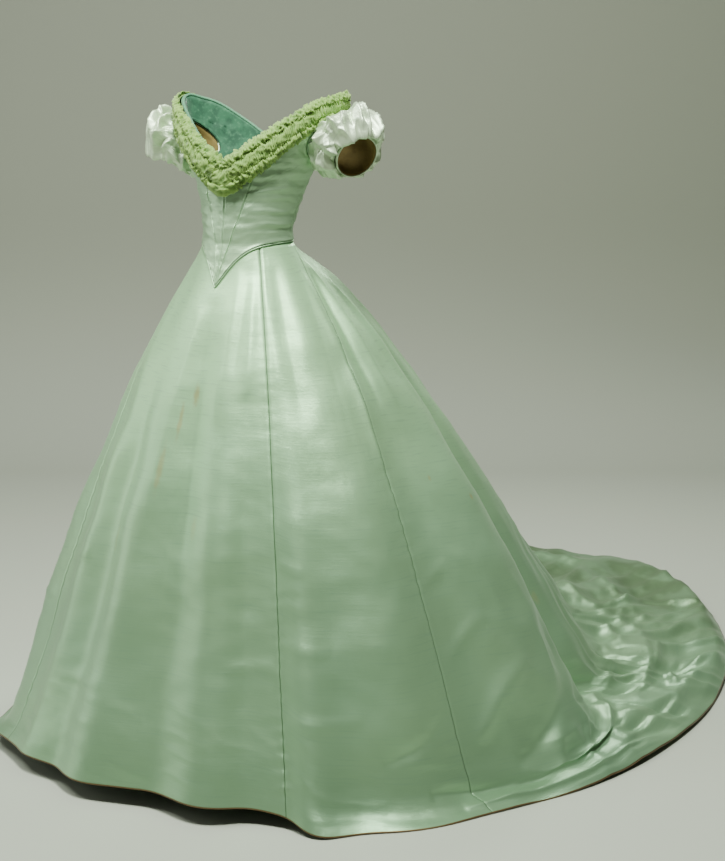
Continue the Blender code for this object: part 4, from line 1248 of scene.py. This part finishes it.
RIGHT_CREASES = [
    ("turn", "along", "end_turn", "end_along", "width", "height"),
    (0.00, 0.10, 0.30, 0.40, 0.0050, 0.0070),
    (0.30, 0.36, 0.62, 0.16, 0.0040, 0.0060),
    (0.06, 0.16, 0.78, 0.68, 0.0055, 0.0090),
    (0.25, 0.12, 1.00, 0.62, 0.0055, -0.0080),
    (0.50, 0.12, 1.23, 0.56, 0.0055, 0.0090),
    (1.23, 0.50, 1.12, 0.78, 0.0050, 0.0070),
    (0.85, 0.12, 1.32, 0.46, 0.0055, -0.0080),
    (1.23, 0.10, 1.30, 0.60, 0.0050, 0.0075),
    (1.27, 0.56, 0.91, 0.86, 0.0045, 0.0060),
    (1.75, 0.30, 1.23, 0.95, 0.0050, 0.0065),
    (1.60, 0.40, 1.05, 0.95, 0.0045, -0.0060),
    (-0.40, 0.15, -0.20, 0.80, 0.0050, 0.0070),
    (-0.90, 0.15, -0.80, 0.85, 0.0050, -0.0060),
    (-1.30, 0.12, -1.25, 0.85, 0.0050, 0.0065),
    (-1.90, 0.12, -1.80, 0.85, 0.0050, 0.0065),
    (-2.40, 0.12, -2.30, 0.85, 0.0045, -0.0055),
    (2.20, 0.20, 2.10, 0.90, 0.0045, 0.0060),
    (2.70, 0.20, 2.70, 0.90, 0.0045, 0.0055),
    (-2.90, 0.15, -2.85, 0.90, 0.0050, 0.0055),
]


def sleeve_ring(centre, radius, turn, along, out):
    """A ring square to the sleeve, whose direction swings from the armhole's to the cuff's."""
    direction = unit(np.array(SLEEVE_IN) * (1 - along) + np.array(out) * along)
    top = unit(np.array([0, 0, 1]) - direction[..., 2:] * direction)
    front = np.cross(direction, top)
    return centre + radius * (top * np.cos(turn)[..., None] + front * np.sin(turn)[..., None])


def sleeve_surface(table, out, turn, along, share):
    """A point of a sleeve or its lining: its rings, blended into the armhole's shape at the start."""
    path = table_at(table, along)
    rings = sleeve_ring(path[..., :3], path[..., 3:], turn, along[..., None], out)
    start = torso(*armhole_place(turn, share))
    blend = np.clip(1 - along / SLEEVE_BLEND, 0, 1)[..., None]
    return rings + (start - rings) * blend ** 2


# The sleeves and cuffs take the paler silk, painted light for their brightly lit tops.
lit_sleeve_silk = silk("sleeve_satin", SLEEVE_SILK_LIT, SLEEVE_SILK_LIT, False)
sleeve_cotton, shader, cloth, place = new_finish("sleeve_lining", 0.85)
blotch = place.noise(40.0, 4.0)
weave = cloth.noise(1.0, 2.0, (900, 900, 1))
colour = blotch.between(0.3, 0.7).mix(LINING_BROWN, LINING_TAN)
wear(shader, colour, blotch * 0.6 + weave * 0.4, 0.5, 0.0015)
turn = np.linspace(0, 2 * pi, SLEEVE_COLUMNS, endpoint=False)[None, :] + np.zeros((SLEEVE_ROWS, 1))
along = np.linspace(0, 1, SLEEVE_ROWS)[:, None] + 0 * turn
around = np.stack([CREST_RADIUS * np.cos(turn), CREST_RADIUS * np.sin(turn), CREST_LENGTH * along], -1)
for hand, table, inside, out, crease_table in (
        ("left", SLEEVE_LEFT, LINING_LEFT, LEFT_OUT, LEFT_CREASES),
        ("right", SLEEVE_RIGHT, LINING_RIGHT, RIGHT_OUT, RIGHT_CREASES)):
    flat = sleeve_surface(table, out, turn, along, SLEEVE_SHARE)
    lift = FOLD_LIFT * crease_height(
        flat, column(crease_table, *crease_table[0]),
        lambda u, v: sleeve_surface(table, out, u, v, SLEEVE_SHARE), 1.1)
    for height, size, seed in CRESTS[1:]:
        lift = lift + height * crests(around, size, seed)
    free = np.clip(np.minimum(along / 0.05, (1 - along) / 0.10), 0, 1)
    outer = flat + grid_normals(flat, True) * (lift * free)[..., None]
    sag = np.clip(np.cos(turn - SAG_TURN), 0, 1) ** 1.5
    sag = sag * np.exp(-((along - SAG_MIDDLE) / SAG_REACH) ** 2)
    outer = outer + sag[..., None] * (SAG_OUT * unit(np.array(out)) - [0, 0, SAG_DOWN])
    inner = sleeve_surface(inside, out, turn[::3, ::2], along[::3, ::2], LINING_INSIDE)
    steps = np.linspace(CUFF_START, CUFF_LENGTH, 4)[:, None, None]
    centres = np.array(table[-1][1:4]) + unit(np.array(out)) * steps
    radius = CUFF_RADIUS + CUFF_BULGE * np.array([0, 1, 1, 0])[:, None, None]
    cuff = sleeve_ring(centres, radius, turn[:4, ::2], np.ones((4, 1, 1)), out)
    for name, points, thickness, finish, slot, cut in (
            ("sleeve", outer, SATIN, lit_sleeve_silk, "satin", SLEEVE_CUT),
            ("cuff_band", cuff, SATIN, lit_sleeve_silk, "satin", CUFF_CUT),
            ("sleeve_lining", inner, LINING, sleeve_cotton, "sleeve_lining", TUBE_CUT)):
        if hand == "right":
            points = (points * [-1, 1, 1])[:, ::-1]
        rows, columns = points.shape[:2]
        cloth = np.meshgrid(np.arange(columns) * cut[0] / columns, np.linspace(0, cut[1], rows))
        piece = wall(f"{name}_{hand}_cloth", points, thickness, finish, np.stack(cloth, -1), cut[0])
        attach(piece, "root")
        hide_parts(f"{name}_{hand}")
        "gathered" if name == "sleeve" else "hung"


# Stage
# A pale floor runs back into a grey backdrop through a wide curve. Painted shade darkens it upwards
# and to the wearer's left, where less light falls.
STAGE_FRONT = -6.0
STAGE_BACK = 2.6
STAGE_CURVE = 0.9
STAGE_TOP = 4.5
STAGE_HALF = 5.0
FLOOR_PAINT = (0.44, 0.455, 0.395)
WALL_PAINTED_SHADE = (0.345, 0.352, 0.295)
FAR_PAINTED_SHADE = (0.25, 0.265, 0.20)

turn = np.linspace(0, pi / 2, 24)
deep = np.concatenate([[STAGE_FRONT], STAGE_BACK + STAGE_CURVE * np.sin(turn), [STAGE_BACK + STAGE_CURVE]])
tall = np.concatenate([[0], STAGE_CURVE * (1 - np.cos(turn)), [STAGE_TOP]])
points = []
for back, up in zip(deep.tolist(), tall.tolist()):
    for across in (-STAGE_HALF, STAGE_HALF):
        place = sideways * across - backwards * back
        points.append((place.x, place.y, FLOOR + up))
quads = [(row, row + 1, row + 3, row + 2) for row in range(0, len(points) - 2, 2)]
stage_mesh = bpy.data.meshes.new("stage")
stage_mesh.from_pydata(points, [], quads)
stage_mesh.shade_smooth()
backdrop_paint_and_shade, shader, _, place = new_finish("backdrop", 0.9)
up = place.axis(2)
# Painted shade: darker up the backdrop, and darker still towards the wearer's left.
colour = up.between(-1.05, -0.25).mix(FLOOR_PAINT, WALL_PAINTED_SHADE)
colour = (place.axis(0).between(-2.5, 3.5) * up.between(-1.07, -0.6)).mix(colour, FAR_PAINTED_SHADE)
colour.feed(shader, "Base Color")
stage_mesh.materials.append(backdrop_paint_and_shade)
stage = add_object("stage", stage_mesh)


# Lights
# A high key light in front on the wearer's left, lower soft ones on the right, at the side and in front,
# and one behind over the train, all a little green, in a dim room.
LIGHTS = [
    ("name", "place", "size", "power"),
    ("key", (0.85, -1.05, 3.0), 0.8, 262),
    ("train", (-0.12, 2.2, 1.18), 0.6, 24),
    ("right", (-1.2, -1.1, 1.8), 0.9, 46),
    ("left", (-3.4, -1.4, 0.1), 2.2, 30),
    ("front", (0.6, -4.6, 1.4), 2.4, 4),
]
LIGHT_COLOUR = (0.92, 1.0, 0.90)
LIT_PLACE = (0, 0.2, -0.4)
ROOM_COLOUR = (0.62, 0.64, 0.50)
ROOM_STRENGTH = 0.13

for name, place, size, power in LIGHTS[1:]:
    data = bpy.data.lights.new(name, "AREA")
    data.size = size
    data.energy = power
    data.color = LIGHT_COLOUR
    lamp = add_object(name, data)
    lamp.location = place
    lamp.rotation_euler = (Vector(LIT_PLACE) - Vector(place)).to_track_quat("-Z", "Y").to_euler()
world = bpy.data.worlds.new("room")
world.use_nodes = True
background = world.node_tree.nodes["Background"]
background.inputs["Color"].default_value = (*ROOM_COLOUR, 1)
background.inputs["Strength"].default_value = ROOM_STRENGTH
bpy.context.scene.world = world
